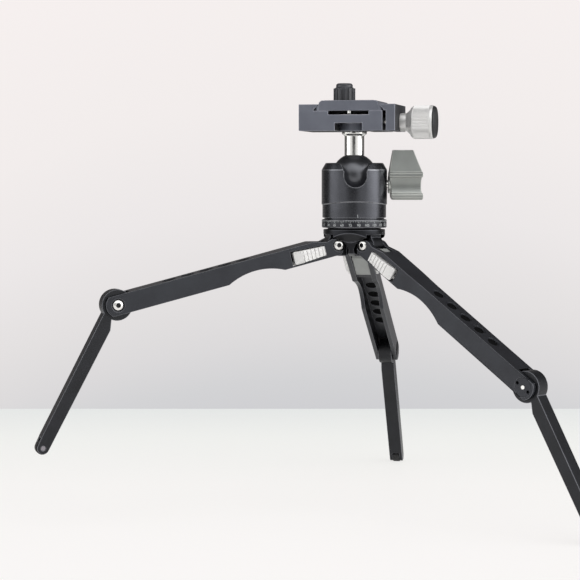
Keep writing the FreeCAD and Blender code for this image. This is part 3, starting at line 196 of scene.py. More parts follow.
over = add(tree, "ShaderNodeMapRange", {"interpolation_type": "SMOOTHSTEP", "From Min": 0.72,
                                        "From Max": 0.95, "To Max": 0.75},
           {"Value": toward.outputs["Value"]})
light = add(tree, "ShaderNodeMix", {"data_type": "RGBA", "blend_type": "ADD", 0: 1.0},
            {6: side_light.outputs[2], 7: over.outputs[0]})
rays = add(tree, "ShaderNodeLightPath", {}, {})
plain = add(tree, "ShaderNodeMix", {"data_type": "RGBA", 7: linear("#f1eeee")},
            {0: rays.outputs["Is Camera Ray"], 6: light.outputs[2]})
even = add(tree, "ShaderNodeMapRange", {"To Min": panel_strength, "To Max": 1.0},
           {"Value": rays.outputs["Is Camera Ray"]})
right = add(tree, "ShaderNodeMapRange", {"From Min": 0.75, "From Max": 1.35, "To Min": 1.0,
                                         "To Max": right_gain}, {"Value": bearing.outputs[0]})
gain = add(tree, "ShaderNodeMix", {3: 1.0},
           {0: rays.outputs["Is Camera Ray"], 2: right.outputs[0]})
level = add(tree, "ShaderNodeMath", {"operation": "MULTIPLY"},
            {0: even.outputs[0], 1: gain.outputs[0]})
back = add(tree, "ShaderNodeBackground", {},
           {"Color": plain.outputs[2], "Strength": level.outputs[0]})
add(tree, "ShaderNodeOutputWorld", {}, {"Surface": back.outputs[0]})


# Hub: an aluminium casting with three slots for the legs, bead-blasted and anodised black. A
# flush set screw in its rim keeps the head from unscrewing, and a socket bolt holds it from below.
def fine_grain(tree, size, depth, detail):
    """Bump from a grain of one size in metres, and the coordinates it reads."""
    where = add(tree, "ShaderNodeTexCoord", {}, {}).outputs["Object"]
    grain = add(tree, "ShaderNodeTexNoise", {"Scale": 1 / size, "Detail": detail, "Roughness": 0.6},
                {"Vector": where})
    bump = add(tree, "ShaderNodeBump", {"Strength": 1.0, "Distance": depth},
               {"Height": grain.outputs["Fac"]})
    return where, grain.outputs["Fac"], bump.outputs["Normal"]


def matte_coat(name, dark, light, rough, metallic, grain=0.0003, gloss=0.5):
    """Dyed aluminium, blackened steel, rubber or plastic: a soft sheen, a fine matte grain drawn
    at several times its real size so that it shows, and faint clouds between two colours."""
    material, tree = new_material(name)
    where, speck, normal = fine_grain(tree, grain, 0.000004, 3.0)
    cloud = add(tree, "ShaderNodeTexNoise", {"Scale": 90.0, "Detail": 3.0}, {"Vector": where})
    tint = add(tree, "ShaderNodeValToRGB", {"stops": [(0.3, dark), (0.7, light)]},
               {"Fac": cloud.outputs["Fac"]})
    dusty = add(tree, "ShaderNodeMapRange", {"From Min": 0.3, "From Max": 0.7,
                                             "To Min": rough - 0.04, "To Max": rough + 0.05},
                {"Value": speck})
    shader = add(tree, "ShaderNodeBsdfPrincipled",
                 {"Metallic": metallic, "Specular IOR Level": gloss},
                 {"Base Color": tint.outputs["Color"], "Roughness": dusty.outputs[0],
                  "Normal": normal})
    add(tree, "ShaderNodeOutputMaterial", {}, {"Surface": shader.outputs[0]})
    return material


def bevel(piece, label, width, segments, material=-1, degrees=None):
    """A bevel on the edges by their weight, or where degrees are given by their angle."""
    cut = piece.modifiers.new(label, "BEVEL")
    cut.width = width
    cut.segments = segments
    cut.material = material
    cut.limit_method = "ANGLE" if degrees else "WEIGHT"
    if degrees:
        cut.angle_limit = math.radians(degrees)
    return cut


def keep_flat(piece):
    """The last modifier of a bevelled piece, so that its flat faces are shaded flat."""
    flat = piece.modifiers.new("flat faces", "WEIGHTED_NORMAL")
    flat.weight = 100


def finished(node, name, width, materials, body, shade_test=None, crisp=None):
    """The node's own shape with its edges broken, as a machinist leaves them. The last material
    is the broken edge, lighter as rubbed wear and painted highlight, and the second of three,
    painted shade, is on the faces that the shade test picks. The edges of the faces that the
    crisp test picks stay sharp."""
    mesh = frame["nodes"][node].data.copy()
    mesh.name = name
    piece = in_scene(name, mesh)
    work = bmesh.new()
    work.from_mesh(mesh)
    bmesh.ops.remove_doubles(work, verts=work.verts, dist=2e-6)
    bmesh.ops.dissolve_limit(work, angle_limit=math.radians(0.5), verts=work.verts,
                             edges=work.edges)
    heavy = work.edges.layers.float.new("bevel_weight_edge")
    for line in work.edges:
        sharp = len(line.link_faces) == 2 and line.calc_face_angle() > math.radians(28)
        if sharp and not (crisp and any(crisp(face.calc_center_median(), face.normal)
                                        for face in line.link_faces)):
            line[heavy] = 1.0
    work.to_mesh(mesh)
    work.free()
    mesh.materials.clear()
    for material in materials:
        mesh.materials.append(material)
    for polygon in mesh.polygons:
        polygon.material_index = 1 if shade_test and shade_test(polygon.center, polygon.normal) else 0
    mesh.shade_smooth()
    bevel(piece, "broken edges", width, 2, len(materials) - 1).use_clamp_overlap = False
    keep_flat(piece)
    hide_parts(node)
    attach(piece, body)


hub_black = matte_coat("black_anodised_casting", "#1b1c1f", "#232428", 0.32, 0.8)
# The lighter broken edge is rubbed wear and painted highlight.
hub_edge_highlight = matte_coat("rubbed_casting_edge_and_highlight", "#4c4d52", "#58595e", 0.3, 0.8)
finished("hub", "hub_casting", 0.0003, [hub_black, hub_edge_highlight], "base")


def turned_steel(name, code, rough):
    """Bright metal off the lathe: a mirror, with faint smears of handling that dull it."""
    material, tree = new_material(name)
    _, speck, normal = fine_grain(tree, 0.004, 0.0000004, 2.0)
    dulled = add(tree, "ShaderNodeMapRange", {"From Min": 0.3, "From Max": 0.7, "To Min": rough,
                                              "To Max": rough + 0.05}, {"Value": speck})
    shader = add(tree, "ShaderNodeBsdfPrincipled", {"Metallic": 1.0, "Base Color": linear(code)},
                 {"Roughness": dulled.outputs[0], "Normal": normal})
    add(tree, "ShaderNodeOutputMaterial", {}, {"Surface": shader.outputs[0]})
    return material


def dress(node, material):
    """A piece whose solid is right as it is gets its finish alone."""
    mesh = frame["nodes"][node].data
    mesh.materials.clear()
    mesh.materials.append(material)


nickel = turned_steel("nickel_plated_steel", "#dddcd9", 0.17)
black_steel = matte_coat("blackened_steel", "#1b1b1d", "#242426", 0.34, 0.6)
dress("head_bolt", black_steel)
dress("hub_set_screw", black_steel)


# Upper legs: machined channels of black anodised aluminium, open underneath, with a row of
# round recesses along the top and another under it. The recesses are near black and dull, as
# painted shade.
legs = ("left", "right", "back")
joints = {joint["name"]: joint for joint in frame["joints"]}
leg_black = matte_coat("black_anodised_aluminium", "#292a2f", "#303237", 0.36, 0.5)
# The lighter broken edges are rubbed wear and painted highlight.
leg_edge_highlight = matte_coat("rubbed_anodised_edge_and_highlight", "#54555a", "#626368", 0.35, 0.4)
# Painted shade: near black and dull, for the faces inside the legs' round recesses.
recess_painted_shade = matte_coat("painted_recess_shade_black", "#09090a", "#0e0e0f", 0.7, 0.0, gloss=0.05)
recess_start, recess_half, recess_floor, channel_roof = 0.045, 0.0038, 0.0042, 0.0038


def leg_place(side):
    """Where a leg's hip pin is, with X out along the leg, Y along the pin and Z up."""
    out = Vector(joints[f"lock_slide_{side}"]["axis"]).normalized()
    pin = Vector((0, 0, 1)).cross(out).normalized()
    turned = Matrix((out, pin, out.cross(pin))).transposed().to_4x4()
    return Matrix.Translation(joints[f"hip_{side}"]["pos_m"]) @ turned


def in_recess(side, upper):
    """A test for a leg's faces in its round recesses, up to a level above the hip pin."""
    to_leg = leg_place(side).inverted()

    def test(centre, normal):
        spot = to_leg @ centre
        facing = to_leg.to_3x3() @ normal
        sunk = recess_floor < spot.z < upper and facing.z > -0.3
        ceiling = spot.z > channel_roof and facing.z < -0.9
        return spot.x > recess_start and abs(spot.y) < recess_half and (sunk or ceiling)

    return test


for side in legs:
    finished(f"upper_leg_{side}", f"leg_channel_{side}", 0.00022,
             [leg_black, recess_painted_shade, leg_edge_highlight], f"leg_{side}",
             shade_test=in_recess(side, 0.0047), crisp=in_recess(side, 0.0052))


# Hip and knee screws: bright button-head socket screws, sunk in the cheeks with a dark ring
# round each. The knee screw's far end is turned down and shows as a dot in the spanner nut.
def laid(name, work, place, materials):
    """A new object from a bmesh, moved to its place, in its materials."""
    mesh = bpy.data.meshes.new(name)
    work.to_mesh(mesh)
    work.free()
    mesh.transform(place)
    for material in materials:
        mesh.materials.append(material)
    return in_scene(name, mesh)


def spun(name, profile, place, materials, body, replaced=()):
    """A turned piece from a profile of (radius, height) in millimetres about its own axis. A
    third value 6 makes that ring a hexagon, and the radius then is half its width across flats."""
    steps = 96
    work = bmesh.new()
    rings = []
    for radius, level, *sides in profile:
        if radius == 0:
            rings.append([work.verts.new((0, 0, level / 1000))] * steps)
            continue
        ring = []
        for k in range(steps):
            angle = 2 * math.pi * k / steps
            reach = radius / 1000
            if sides:
                reach /= math.cos((angle % (math.pi / 3)) - math.pi / 6)
            ring.append(work.verts.new((reach * math.cos(angle), reach * math.sin(angle),
                                        level / 1000)))
        rings.append(ring)
    closed = profile[0][0] > 0
    pairs = list(zip(rings, rings[1:])) + ([(rings[-1], rings[0])] if closed else [])
    for low, high in pairs:
        for k in range(steps):
            corners = [low[k], low[(k + 1) % steps], high[(k + 1) % steps], high[k]]
            work.faces.new(list(dict.fromkeys(corners)))
    bmesh.ops.recalc_face_normals(work, faces=work.faces)
    piece = laid(name, work, place, materials)
    piece.data.shade_smooth()
    piece.data.set_sharp_from_angle(angle=math.radians(35))
    for node in replaced:
        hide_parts(node)
    if body:
        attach(piece, body)
    return piece


def geometry_tree(name, sizes):
    """A geometry tree with named inputs, as (kind, name, default), and its input node."""
    tree = bpy.data.node_groups.new(name, "GeometryNodeTree")
    for kind, label, value in sizes:
        socket = tree.interface.new_socket(label, in_out="INPUT", socket_type="NodeSocket" + kind)
        if value is not None:
            socket.default_value = value
    tree.interface.new_socket("Geometry", in_out="OUTPUT", socket_type="NodeSocketGeometry")
    return tree, add(tree, "NodeGroupInput", {}, {})


def close_tree(tree, geometry, material, shade=None):
    """The end of each tree: real mesh, its material, and a darker one as painted shade where the
    mesh says so.
    """
    solid = add(tree, "GeometryNodeRealizeInstances", {}, {"Geometry": geometry})
    painted = add(tree, "GeometryNodeSetMaterial", {"Material": material},
                  {"Geometry": solid.outputs[0]})
    if shade:
        shaded_socket = add(tree, "GeometryNodeInputNamedAttribute", {"data_type": "BOOLEAN",
                                                             "Name": "socket"}, {})
        painted = add(tree, "GeometryNodeSetMaterial", {"Material": shade},
                      {"Geometry": painted.outputs[0], "Selection": shaded_socket.outputs["Attribute"]})
    add(tree, "NodeGroupOutput", {}, {"Geometry": painted.outputs[0]})


def node_piece(tree, name, body, replaced=(), place=Matrix(), values=None):
    """The result of a geometry tree as a plain mesh that rides on a body."""
    holder = in_scene(name + "_maker", bpy.data.meshes.new(name + "_maker"))
    maker = holder.modifiers.new("maker", "NODES")
    maker.node_group = tree
    for socket in tree.interface.items_tree:
        if values and socket.name in values:
            maker[socket.identifier] = values[socket.name]
    seen = holder.evaluated_get(bpy.context.evaluated_depsgraph_get())
    mesh = bpy.data.meshes.new_from_object(seen)
    mesh.name = name
    mesh.transform(place)
    bpy.data.objects.remove(holder)
    piece = in_scene(name, mesh)
    for node in replaced:
        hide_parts(node)
    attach(piece, body)


hip_seat, knee_seat, knee_reach = 0.0057, 0.0053, 0.126
socket_rim, socket_reach = 0.00145, 0.0014
button_head = [(2.95, 0.0), (2.95, 0.4), (2.87, 0.7), (2.66, 0.98), (2.34, 1.22), (1.94, 1.4),
               (1.56, 1.5), (1.25, 1.5, 6), (1.2, 1.4, 6), (1.2, 0.45, 6), (0, 0.2)]
hip_shank = [(0, -5.2), (1.8, -5.2), (2.0, -5.0), (2.0, 0.0)]
knee_shank = [(0, -11.88), (1.0, -11.88), (1.13, -11.75), (1.13, -10.4), (2.0, -10.4), (2.0, 0.0)]
screw_bright = turned_steel("bright_nickel_screws", "#f0efec", 0.26)

tree, given = geometry_tree("seated_screws", [
    ("Object", "Screw", None), ("Int", "Count", 2), ("Float", "Seat", hip_seat)])
start = add(tree, "ShaderNodeCombineXYZ", {}, {"Y": given.outputs["Seat"]})
apart = add(tree, "ShaderNodeVectorMath", {"operation": "SCALE", "Scale": -2.0},
            {0: start.outputs[0]})
seats = add(tree, "GeometryNodeMeshLine", {},
            {"Count": given.outputs["Count"], "Start Location": start.outputs[0],
             "Offset": apart.outputs[0]})
screw = add(tree, "GeometryNodeObjectInfo", {}, {"Object": given.outputs["Screw"]})
number = add(tree, "GeometryNodeInputIndex", {}, {})
facing = add(tree, "ShaderNodeMath", {"operation": "MULTIPLY_ADD", 1: math.pi, 2: -math.pi / 2},
             {0: number.outputs[0]})
turn = add(tree, "ShaderNodeCombineXYZ", {}, {"X": facing.outputs[0]})
placed = add(tree, "GeometryNodeInstanceOnPoints", {},
             {"Points": seats.outputs[0], "Instance": screw.outputs["Geometry"],
              "Rotation": turn.outputs[0]})
close_tree(tree, placed.outputs[0], screw_bright, black_steel)

hip_master = spun("hip_screw_master", hip_shank + button_head, Matrix(), [screw_bright], None)
knee_master = spun("knee_screw_master", knee_shank + button_head, Matrix(), [screw_bright], None)
for master in (hip_master, knee_master):
    # Painted shade: the faces inside each hex socket, marked here, get the blackened steel.
    socket = master.data.attributes.new("socket", "BOOLEAN", "FACE")
    for polygon, mark in zip(master.data.polygons, socket.data):
        spot = polygon.center
        mark.value = 0 < spot.z < socket_rim and spot.xy.length < socket_reach
for side in legs:
    node_piece(tree, f"hip_button_screws_{side}", f"leg_{side}", [f"hip_screws_{side}"],
               leg_place(side), {"Screw": hip_master, "Count": 2, "Seat": hip_seat})
    at_knee = leg_place(side) @ Matrix.Translation((knee_reach, 0, 0))
    node_piece(tree, f"knee_button_screw_{side}", f"leg_{side}", [f"knee_screw_{side}"],
               at_knee, {"Screw": knee_master, "Count": 1, "Seat": knee_seat})
    finished(f"knee_nut_{side}", f"spanner_nut_{side}", 0.0001, [leg_black], f"leg_{side}")
bpy.data.objects.remove(hip_master)
bpy.data.objects.remove(knee_master)

# Leg locks: a grey anodised block slides in each channel, and its two thumb pads, clear anodised
# and ribbed across, come out through windows in the cheeks. A small spring pushes it home. The
# pads' sizes are in millimetres from the hip pin, and they widen away from it.
silver = matte_coat("clear_anodised_aluminium", "#d6d5d4", "#e0dfde", 0.32, 0.4)
# The lighter broken edge is wear and painted highlight.
silver_edge_highlight = matte_coat("clear_anodised_edge_wear_and_highlight", "#e4e4e3", "#ececeb", 0.28, 0.4)
slider_grey = matte_coat("grey_anodised_block", "#8d8f8d", "#979997", 0.4, 0.2)
pad_near, pad_far, pad_middle = 8.6, 26.85, -0.6
pad_face, pad_rim, pad_root, pad_scoop = 9.55, 8.2, 4.2, 22.6
narrow_half, widening = 2.45, 1.1
first_groove, groove_step, groove_depth = 21.7, 2.2, 0.5


def loft(work, outlines):
    """A closed skin over outlines of the same length, as points in millimetres, and its rings of
    vertices."""
    rings = [[work.verts.new([value / 1000 for value in point]) for point in outline]
             for outline in outlines]
    work.faces.new(rings[0])
    work.faces.new(rings[-1][::-1])
    for low, high in zip(rings, rings[1:]):
        for k in range(len(low)):
            work.faces.new((low[k - 1], low[k], high[k], high[k - 1]))
    bmesh.ops.recalc_face_normals(work, faces=work.faces)
    return rings


def thumb_pads(side):
    """Both pads of a lock, from their profile along the leg, as (along, out) in millimetres."""
    profile = [(pad_near, pad_root), (pad_far, pad_root), (pad_far, pad_rim),
               (pad_scoop, pad_face)]
    for rib in range(6):
        groove = first_groove - groove_step * rib
        profile += [(groove + 0.28, pad_face), (groove + 0.08, pad_face - groove_depth),
                    (groove - 0.08, pad_face - groove_depth), (groove - 0.28, pad_face)]
    profile += [(pad_near + 0.9, pad_face), (pad_near, pad_rim)]
    work = bmesh.new()
    heavy = work.edges.layers.float.new("bevel_weight_edge")
    for way in (1, -1):
        outlines = [[], []]
        for along, out in profile:
            half = narrow_half + widening * (along - pad_near) / (pad_far - pad_near)
            outlines[0].append((along, way * out, pad_middle - half))
            outlines[1].append((along, way * out, pad_middle + half))
        for ring in loft(work, outlines):
            for k in (1, len(ring) - 1):
                work.edges.get((ring[k], ring[(k + 1) % len(ring)]))[heavy] = 1.0
    piece = laid(f"thumb_pads_{side}", work, leg_place(side), [silver])
    piece.data.shade_smooth()
    bevel(piece, "round corners", 0.0012, 4)
    bevel(piece, "broken edges", 0.00008, 2, degrees=25)
    keep_flat(piece)
    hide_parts(f"lock_pads_{side}")
    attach(piece, f"lock_{side}")


for side in legs:
    finished(f"lock_slider_{side}", f"lock_block_{side}", 0.0002, [slider_grey], f"lock_{side}")
    thumb_pads(side)
    dress(f"lock_spring_{side}", black_steel)

# Lower legs: square bars of the same anodised aluminium, with a knuckle disc at the knee. Each
# foot is a small roller of black rubber on a plain steel pin.
rubber = matte_coat("moulded_black_rubber", "#18181a", "#202022", 0.62, 0.0)
bar_black = matte_coat("black_anodised_bar", "#1d1e21", "#242529", 0.36, 0.5)
dull_steel = matte_coat("dull_steel_pin", "#858187", "#928d93", 0.4, 0.7)
for side in legs:
    finished(f"lower_leg_{side}", f"leg_bar_{side}", 0.0003, [bar_black, leg_edge_highlight],
             f"shank_{side}")
    finished(f"foot_pad_{side}", f"rubber_foot_{side}", 0.0003, [rubber], f"shank_{side}")
    finished(f"foot_pin_{side}", f"foot_roller_pin_{side}", 0.0001, [dull_steel], f"shank_{side}")


# Scale ring and housing: turned aluminium, satin black. The housing turns on the ring over a
# thin washer, and holds the ball in a seat that a plunger presses.
head_black = matte_coat("satin_black_anodised", "#434448", "#4d4e53", 0.25, 0.9, 0.0004)
# The lighter broken edge is wear and painted highlight.
head_edge_highlight = matte_coat("satin_black_edge_wear_and_highlight", "#77787c", "#85868a", 0.28, 0.85)
ring_black = matte_coat("satin_black_ring", "#2e2f33", "#37383c", 0.3, 0.7)
finished("housing", "head_housing", 0.0003, [head_black, head_edge_highlight], "head")
finished("pan_base", "scale_ring", 0.00015, [ring_black, head_edge_highlight], "base")
finished("pan_washer", "sliding_washer", 0.0001, [head_black], "head")
dress("ball_seat", head_black)
dress("lock_plunger", black_steel)

# Dial marks: white paint in the engraved degree scale of the ring, a line every three degrees
# and a number every fifteen, and one line on the housing to read them by. The three turns are
# in degrees: of the dial, of that line, and of the front of the object.
hip_level = joints["hip_left"]["pos_m"][2]
ring_radius, index_radius = 0.01775, 0.01745
line_top, number_foot, index_foot = hip_level + 0.01355, hip_level + 0.01035, hip_level + 0.0151
dial_turn, index_turn, front = 6, 4.2, -90
white_paint, tree = new_material("white_filling_paint")
_, speck, normal = fine_grain(tree, 0.00015, 0.00001, 2.0)
worn = add(tree, "ShaderNodeValToRGB", {"stops": [(0.3, "#9ea2a3"), (0.6, "#c4c7c8")]},
           {"Fac": speck})
shader = add(tree, "ShaderNodeBsdfPrincipled", {"Roughness": 0.6},
             {"Base Color": worn.outputs["Color"], "Normal": normal})
add(tree, "ShaderNodeOutputMaterial", {}, {"Surface": shader.outputs[0]})

tree, given = geometry_tree("dial_lines", [
    ("Int", "Lines", 120), ("Float", "Radius", ring_radius), ("Float", "Level", line_top),
    ("Float", "Short", 0.0009), ("Float", "Long", 0.0014)])
line = add(tree, "GeometryNodeMeshCube", {"Size": (0.00008, 0.00016, 1.0)}, {})
hung = add(tree, "GeometryNodeTransform", {"Translation": (0, 0, -0.5)},
           {"Geometry": line.outputs[0]})
circle = add(tree, "GeometryNodeMeshCircle", {},
             {"Vertices": given.outputs["Lines"], "Radius": given.outputs["Radius"]})
number = add(tree, "GeometryNodeInputIndex", {}, {})
fifth = add(tree, "ShaderNodeMath", {"operation": "MODULO", 1: 5.0}, {0: number.outputs[0]})
is_long = add(tree, "FunctionNodeCompare", {"data_type": "INT", "operation": "EQUAL", 3: 0},
              {2: fifth.outputs[0]})
length = add(tree, "GeometryNodeSwitch", {"input_type": "FLOAT"},
             {"Switch": is_long.outputs[0], "False": given.outputs["Short"],
              "True": given.outputs["Long"]})
stretch = add(tree, "ShaderNodeCombineXYZ", {"X": 1.0, "Y": 1.0}, {"Z": length.outputs[0]})
share = add(tree, "ShaderNodeMath", {"operation": "DIVIDE"},
            {0: number.outputs[0], 1: given.outputs["Lines"]})
angle = add(tree, "ShaderNodeMath", {"operation": "MULTIPLY", 1: 2 * math.pi},
            {0: share.outputs[0]})
turn = add(tree, "ShaderNodeCombineXYZ", {}, {"Z": angle.outputs[0]})
lines = add(tree, "GeometryNodeInstanceOnPoints", {},
            {"Points": circle.outputs[0], "Instance": hung.outputs[0],
             "Rotation": turn.outputs[0], "Scale": stretch.outputs[0]})
lift = add(tree, "ShaderNodeCombineXYZ", {}, {"Z": given.outputs["Level"]})
raised = add(tree, "GeometryNodeTransform", {"Rotation": (0, 0, math.radians(dial_turn + front))},
             {"Geometry": lines.outputs[0], "Translation": lift.outputs[0]})
close_tree(tree, raised.outputs[0], white_paint)
node_piece(tree, "dial_lines", "base")


def wrapped_text(name, words, height, radius, level, body):
    """Words laid round a cylinder about the head axis, each at its own angle."""
    work = bmesh.new()
    for word, degrees in words:
        curve = bpy.data.curves.new(name, "FONT")
        curve.body = word
        curve.size = height / 0.7
        curve.align_x = "CENTER"
        curve.extrude = 0.00004
        curve.resolution_u = 3
        letters = in_scene(name, curve)
        bpy.context.view_layer.update()
        mesh = bpy.data.meshes.new_from_object(letters)
        bpy.data.objects.remove(letters)
        for vertex in mesh.vertices:
            x, y, out = vertex.co
            turned = math.radians(degrees) + x / radius
            vertex.co = ((radius + out) * math.cos(turned), (radius + out) * math.sin(turned),
                         level + y)
        work.from_mesh(mesh)
    piece = laid(name, work, Matrix(), [white_paint])
    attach(piece, body)


numbers = [(str(turn), dial_turn + front - 90 + turn) for turn in range(0, 360, 15)]
wrapped_text("dial_numbers", numbers, 0.00135, ring_radius, number_foot, "base")
wrapped_text("index_line", [("I", index_turn + front)], 0.0016, index_radius, index_foot, "head")

# Ball and stem: a steel ball with a hard, dark satin coat, and the polished stem that carries
# the clamp. The stem is bare metal and mirrors the panels as two bright stripes.
ball_grey = matte_coat("hard_coated_ball", "#5e5f63", "#6a6b6f", 0.32, 0.9)
finished("ball", "head_ball", 0.0001, [ball_grey], "ball_joint")
finished("stem", "polished_stem", 0.0002, [nickel], "post")

# Lock wing: a milled lever of titanium-grey anodised aluminium on the lock screw. It is scooped
# on both sides for the thumb and finger. Each outline is a level above the hip pins, half the
# thickness there, and how near and how far from the head axis it reaches.
titanium = matte_coat("titanium_grey_anodised", "#8b8e8b", "#969996", 0.36, 0.8)
# The lighter broken edge is wear and painted highlight.
titanium_edge_highlight = matte_coat("titanium_grey_edge_wear_and_highlight", "#b0b2ae", "#babcb8", 0.32, 0.8)


def head_place(axis):
    """The head's axis at the level of the hip pins, with X along a level axis and Z up."""
    up = Vector((0, 0, 1))
    turned = Matrix((axis, up.cross(axis), up)).transposed().to_4x4()
    return Matrix.Translation((0, 0, hip_level)) @ turned


out = Vector(joints["ball_lock_turn"]["axis"])
lock_place = head_place(out if out.x > 0 else -out)
lock_height = 0.0327
outlines = []
for level, half, inner, outer in (
        (24.45, 6.4, 20.7, 36.8), (25.5, 7.5, 20.0, 37.2), (27.1, 7.8, 19.8, 37.2),
        (27.8, 7.6, 19.8, 37.2), (28.1, 6.7, 19.9, 36.6), (29.6, 6.1, 19.9, 36.3),
        (31.6, 5.75, 19.9, 36.2), (33.4, 5.75, 19.8, 36.2), (35.2, 6.1, 19.0, 36.3),
        (36.7, 6.7, 18.9, 36.6), (37.1, 7.4, 18.8, 37.2), (38.9, 7.4, 18.8, 37.2),
        (39.5, 5.8, 18.9, 36.95), (51.65, 3.6, 20.9, 32.1)):
    outlines.append([(inner, -half, level), (outer, -half, level), (outer, half, level),
                     (inner, half, level)])
work = bmesh.new()
loft(work, outlines)
wing = laid("lock_wing", work, lock_place, [titanium, titanium_edge_highlight])
wing.data.shade_smooth()
bevel(wing, "broken edges", 0.00045, 3, 1, degrees=24)
keep_flat(wing)
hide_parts("wing_knob")
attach(wing, "lock_knob")
# The boss is coloured all over in the lighter grey of the wing's edges.
spun("lock_wing_boss", [(2.6, 18.4), (4.5, 18.4), (4.75, 18.65), (4.75, 20.95), (2.6, 20.95)],
     lock_place @ Matrix.Translation((0, 0, lock_height)) @ Matrix.Rotation(math.pi / 2, 4, "Y"),
     [titanium_edge_highlight], "lock_knob")
dress("lock_screw", nickel)

# Clamp: a fixed jaw and a sliding jaw of bluish-grey anodised aluminium, sawn from one extruded
# bar. The sliding jaw runs on two guide pins, with a spring on each to open it.
clamp_grey = matte_coat("bluish_grey_anodised", "#62656f", "#6c6f79", 0.4, 0.4)
# The lighter broken edge is wear and painted highlight.
clamp_edge_highlight = matte_coat("bluish_grey_edge_wear_and_highlight", "#83858f", "#8f919b", 0.34, 0.4)
# Painted shade: near black and matte, on the clamp's underside and screw end.
clamp_painted_shade = matte_coat("bluish_grey_painted_shade", "#1d1e22", "#25262b", 0.65, 0.0)
across = Vector(joints["jaw_slide"]["axis"])
clamp_place = head_place(across)
clamp_screw_height = 0.0666


def machined(centre, normal):
    """The faces of the clamp painted near black as painted shade: its underside and screw end."""
    return normal.z < -0.9 or normal.dot(across) > 0.9


jaw_coats = [clamp_grey, clamp_painted_shade, clamp_edge_highlight]
finished("clamp_body", "clamp_fixed_jaw", 0.0003, jaw_coats, "clamp", shade_test=machined)
finished("clamp_jaw", "clamp_moving_jaw", 0.0003, jaw_coats, "jaw", shade_test=machined)
for node in ("clamp_bolt", "guide_pins", "jaw_springs"):
    dress(node, nickel)

# Clamp knob: turned aluminium, clear anodised, with a straight knurl round it, and a smooth lip
# that holds a domed black end cap. It turns on a bright flared neck. Its levels are in
# millimetres along the clamp screw.
knob_place = (clamp_place @ Matrix.Translation((0, 0, clamp_screw_height))
              @ Matrix.Rotation(math.pi / 2, 4, "Y"))
knob_start, knob_end = 31.1, 45.2
knurl_start, knurl_end = knob_start + 1.95, knob_end - 3.35
tree, given = geometry_tree("straight_knurl", [
    ("Int", "Ridges", 72), ("Float", "Radius", 0.0091), ("Float", "Depth", 0.00032),
    ("Float", "Length", (knurl_end - knurl_start) / 1000)])
points = add(tree, "ShaderNodeMath", {"operation": "MULTIPLY", 1: 6.0},
             {0: given.outputs["Ridges"]})
drum = add(tree, "GeometryNodeMeshCylinder", {"fill_type": "NONE", "Side Segments": 2},
           {"Vertices": points.outputs[0], "Radius": given.outputs["Radius"],
            "Depth": given.outputs["Length"]})
spot = add(tree, "GeometryNodeInputPosition", {}, {}).outputs[0]
parts = add(tree, "ShaderNodeSeparateXYZ", {}, {0: spot})
angle = add(tree, "ShaderNodeMath", {"operation": "ARCTAN2"},
            {0: parts.outputs["Y"], 1: parts.outputs["X"]})
turns = add(tree, "ShaderNodeMath", {"operation": "DIVIDE", 1: 2 * math.pi},
            {0: angle.outputs[0]})
count = add(tree, "ShaderNodeMath", {"operation": "MULTIPLY"},
            {0: turns.outputs[0], 1: given.outputs["Ridges"]})
wave = add(tree, "ShaderNodeMath", {"operation": "PINGPONG", 1: 0.5}, {0: count.outputs[0]})
sunk = add(tree, "ShaderNodeMath", {"operation": "MULTIPLY"},
           {0: wave.outputs[0], 1: given.outputs["Depth"]})
cut = add(tree, "ShaderNodeMath", {"operation": "MULTIPLY", 1: -2.0}, {0: sunk.outputs[0]})
flat_spot = add(tree, "ShaderNodeVectorMath", {"operation": "MULTIPLY", 1: (1, 1, 0)},
                {0: spot})
outward = add(tree, "ShaderNodeVectorMath", {"operation": "NORMALIZE"},
              {0: flat_spot.outputs[0]})
moved = add(tree, "ShaderNodeVectorMath", {"operation": "SCALE"},
            {0: outward.outputs[0], "Scale": cut.outputs[0]})
knurl = add(tree, "GeometryNodeSetPosition", {},
            {"Geometry": drum.outputs[0], "Offset": moved.outputs[0]})
close_tree(tree, knurl.outputs[0], silver)
knurl_middle = Matrix.Translation((0, 0, (knurl_start + knurl_end) / 2000))
node_piece(tree, "knurled_rim", "clamp_screw_set", (), knob_place @ knurl_middle)
spun("clamp_knob_core", [
    (2.1, knob_start + 0.1), (6.9, knob_start + 0.1), (7.6, knob_start + 0.2),
    (8.85, knob_start + 1.5), (8.85, knob_start + 2.0), (8.75, knob_start + 2.1),
    (8.75, knob_end - 3.6), (9.0, knob_end - 3.5), (9.1, knob_end - 3.2), (9.1, knob_end - 2.4),
    (9.0, knob_end - 1.9), (8.85, knob_end - 1.7), (8.6, knob_end - 1.9), (2.1, knob_end - 1.9)],
    knob_place, [silver], "clamp_screw_set", ["clamp_knob"])
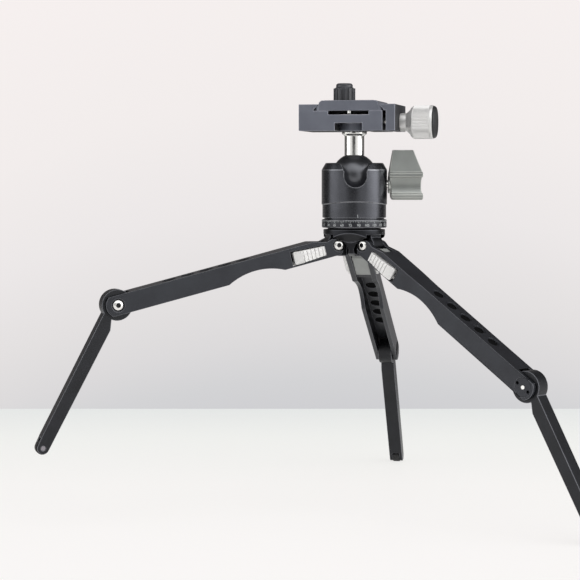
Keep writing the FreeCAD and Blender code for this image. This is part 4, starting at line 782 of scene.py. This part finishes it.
finished("knob_collar", "knob_neck", 0.0002, [silver, silver_edge_highlight], "clamp_screw_set")
cap_grey = matte_coat("knob_cap_black", "#1c1c1e", "#242426", 0.5, 0.0)
spun("knob_end_cap", [
    (0, knob_end - 1.8), (8.7, knob_end - 1.8), (8.75, knob_end - 1.4), (8.55, knob_end - 0.8),
    (8.1, knob_end - 0.3), (7.5, knob_end - 0.05), (7.0, knob_end), (6.5, knob_end - 0.3),
    (0, knob_end - 0.3)],
    knob_place, [cap_grey], "clamp_screw_set", ["knob_cap"])
dress("clamp_screw", nickel)

# Quick-release plate: the same bluish anodised aluminium, dovetailed along both sides, with a
# moulded rubber pad let into its top and a stop screw near each end so it can't slide out.
finished("dovetail_plate", "quick_release_plate", 0.0002, [clamp_grey, clamp_edge_highlight], "plate")
finished("plate_pad", "rubber_pad", 0.0001, [rubber], "plate")
dress("stop_screws", screw_bright)

# Underside bars: two bars of moulded rubber, let into the plate's underside across it, before
# and behind the camera screw. They close most of the gap over the floor of the clamp.
bar_outline = [(-9.9, 71.95), (-9.5, 71.45), (9.5, 71.45), (9.9, 71.95), (9.9, 72.7),
               (-9.9, 72.7)]
bar_slope, bar_pinch = 0.5, 0.4
for end, near, far in (("front", -13.0, -7.2), ("rear", 7.2, 13.0)):
    work = bmesh.new()
    rings = loft(work, [[(x, y, z) for x, z in bar_outline]
                        for y in (near, near + bar_slope, far - bar_slope, far)])
    for ring in (rings[0], rings[-1]):
        for vertex in ring[:4]:
            vertex.co.z += bar_pinch / 1000
    bar = laid(f"underside_bar_{end}", work, clamp_place, [rubber])
    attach(bar, "plate")

# Camera screw: plated steel held by a spring washer in the plate's slot. A ribbed black cap of
# moulded plastic is screwed over its thread for carrying.
finished("screw_retainer", "retaining_washer", 0.0001, [nickel], "retainer")
finished("camera_screw", "camera_mount_screw", 0.0001, [nickel], "screw")
cap_plastic = matte_coat("moulded_black_plastic", "#303135", "#393a3f", 0.4, 0.0)
finished("screw_cap", "ribbed_screw_cap", 0.0002, [cap_plastic], "cap")
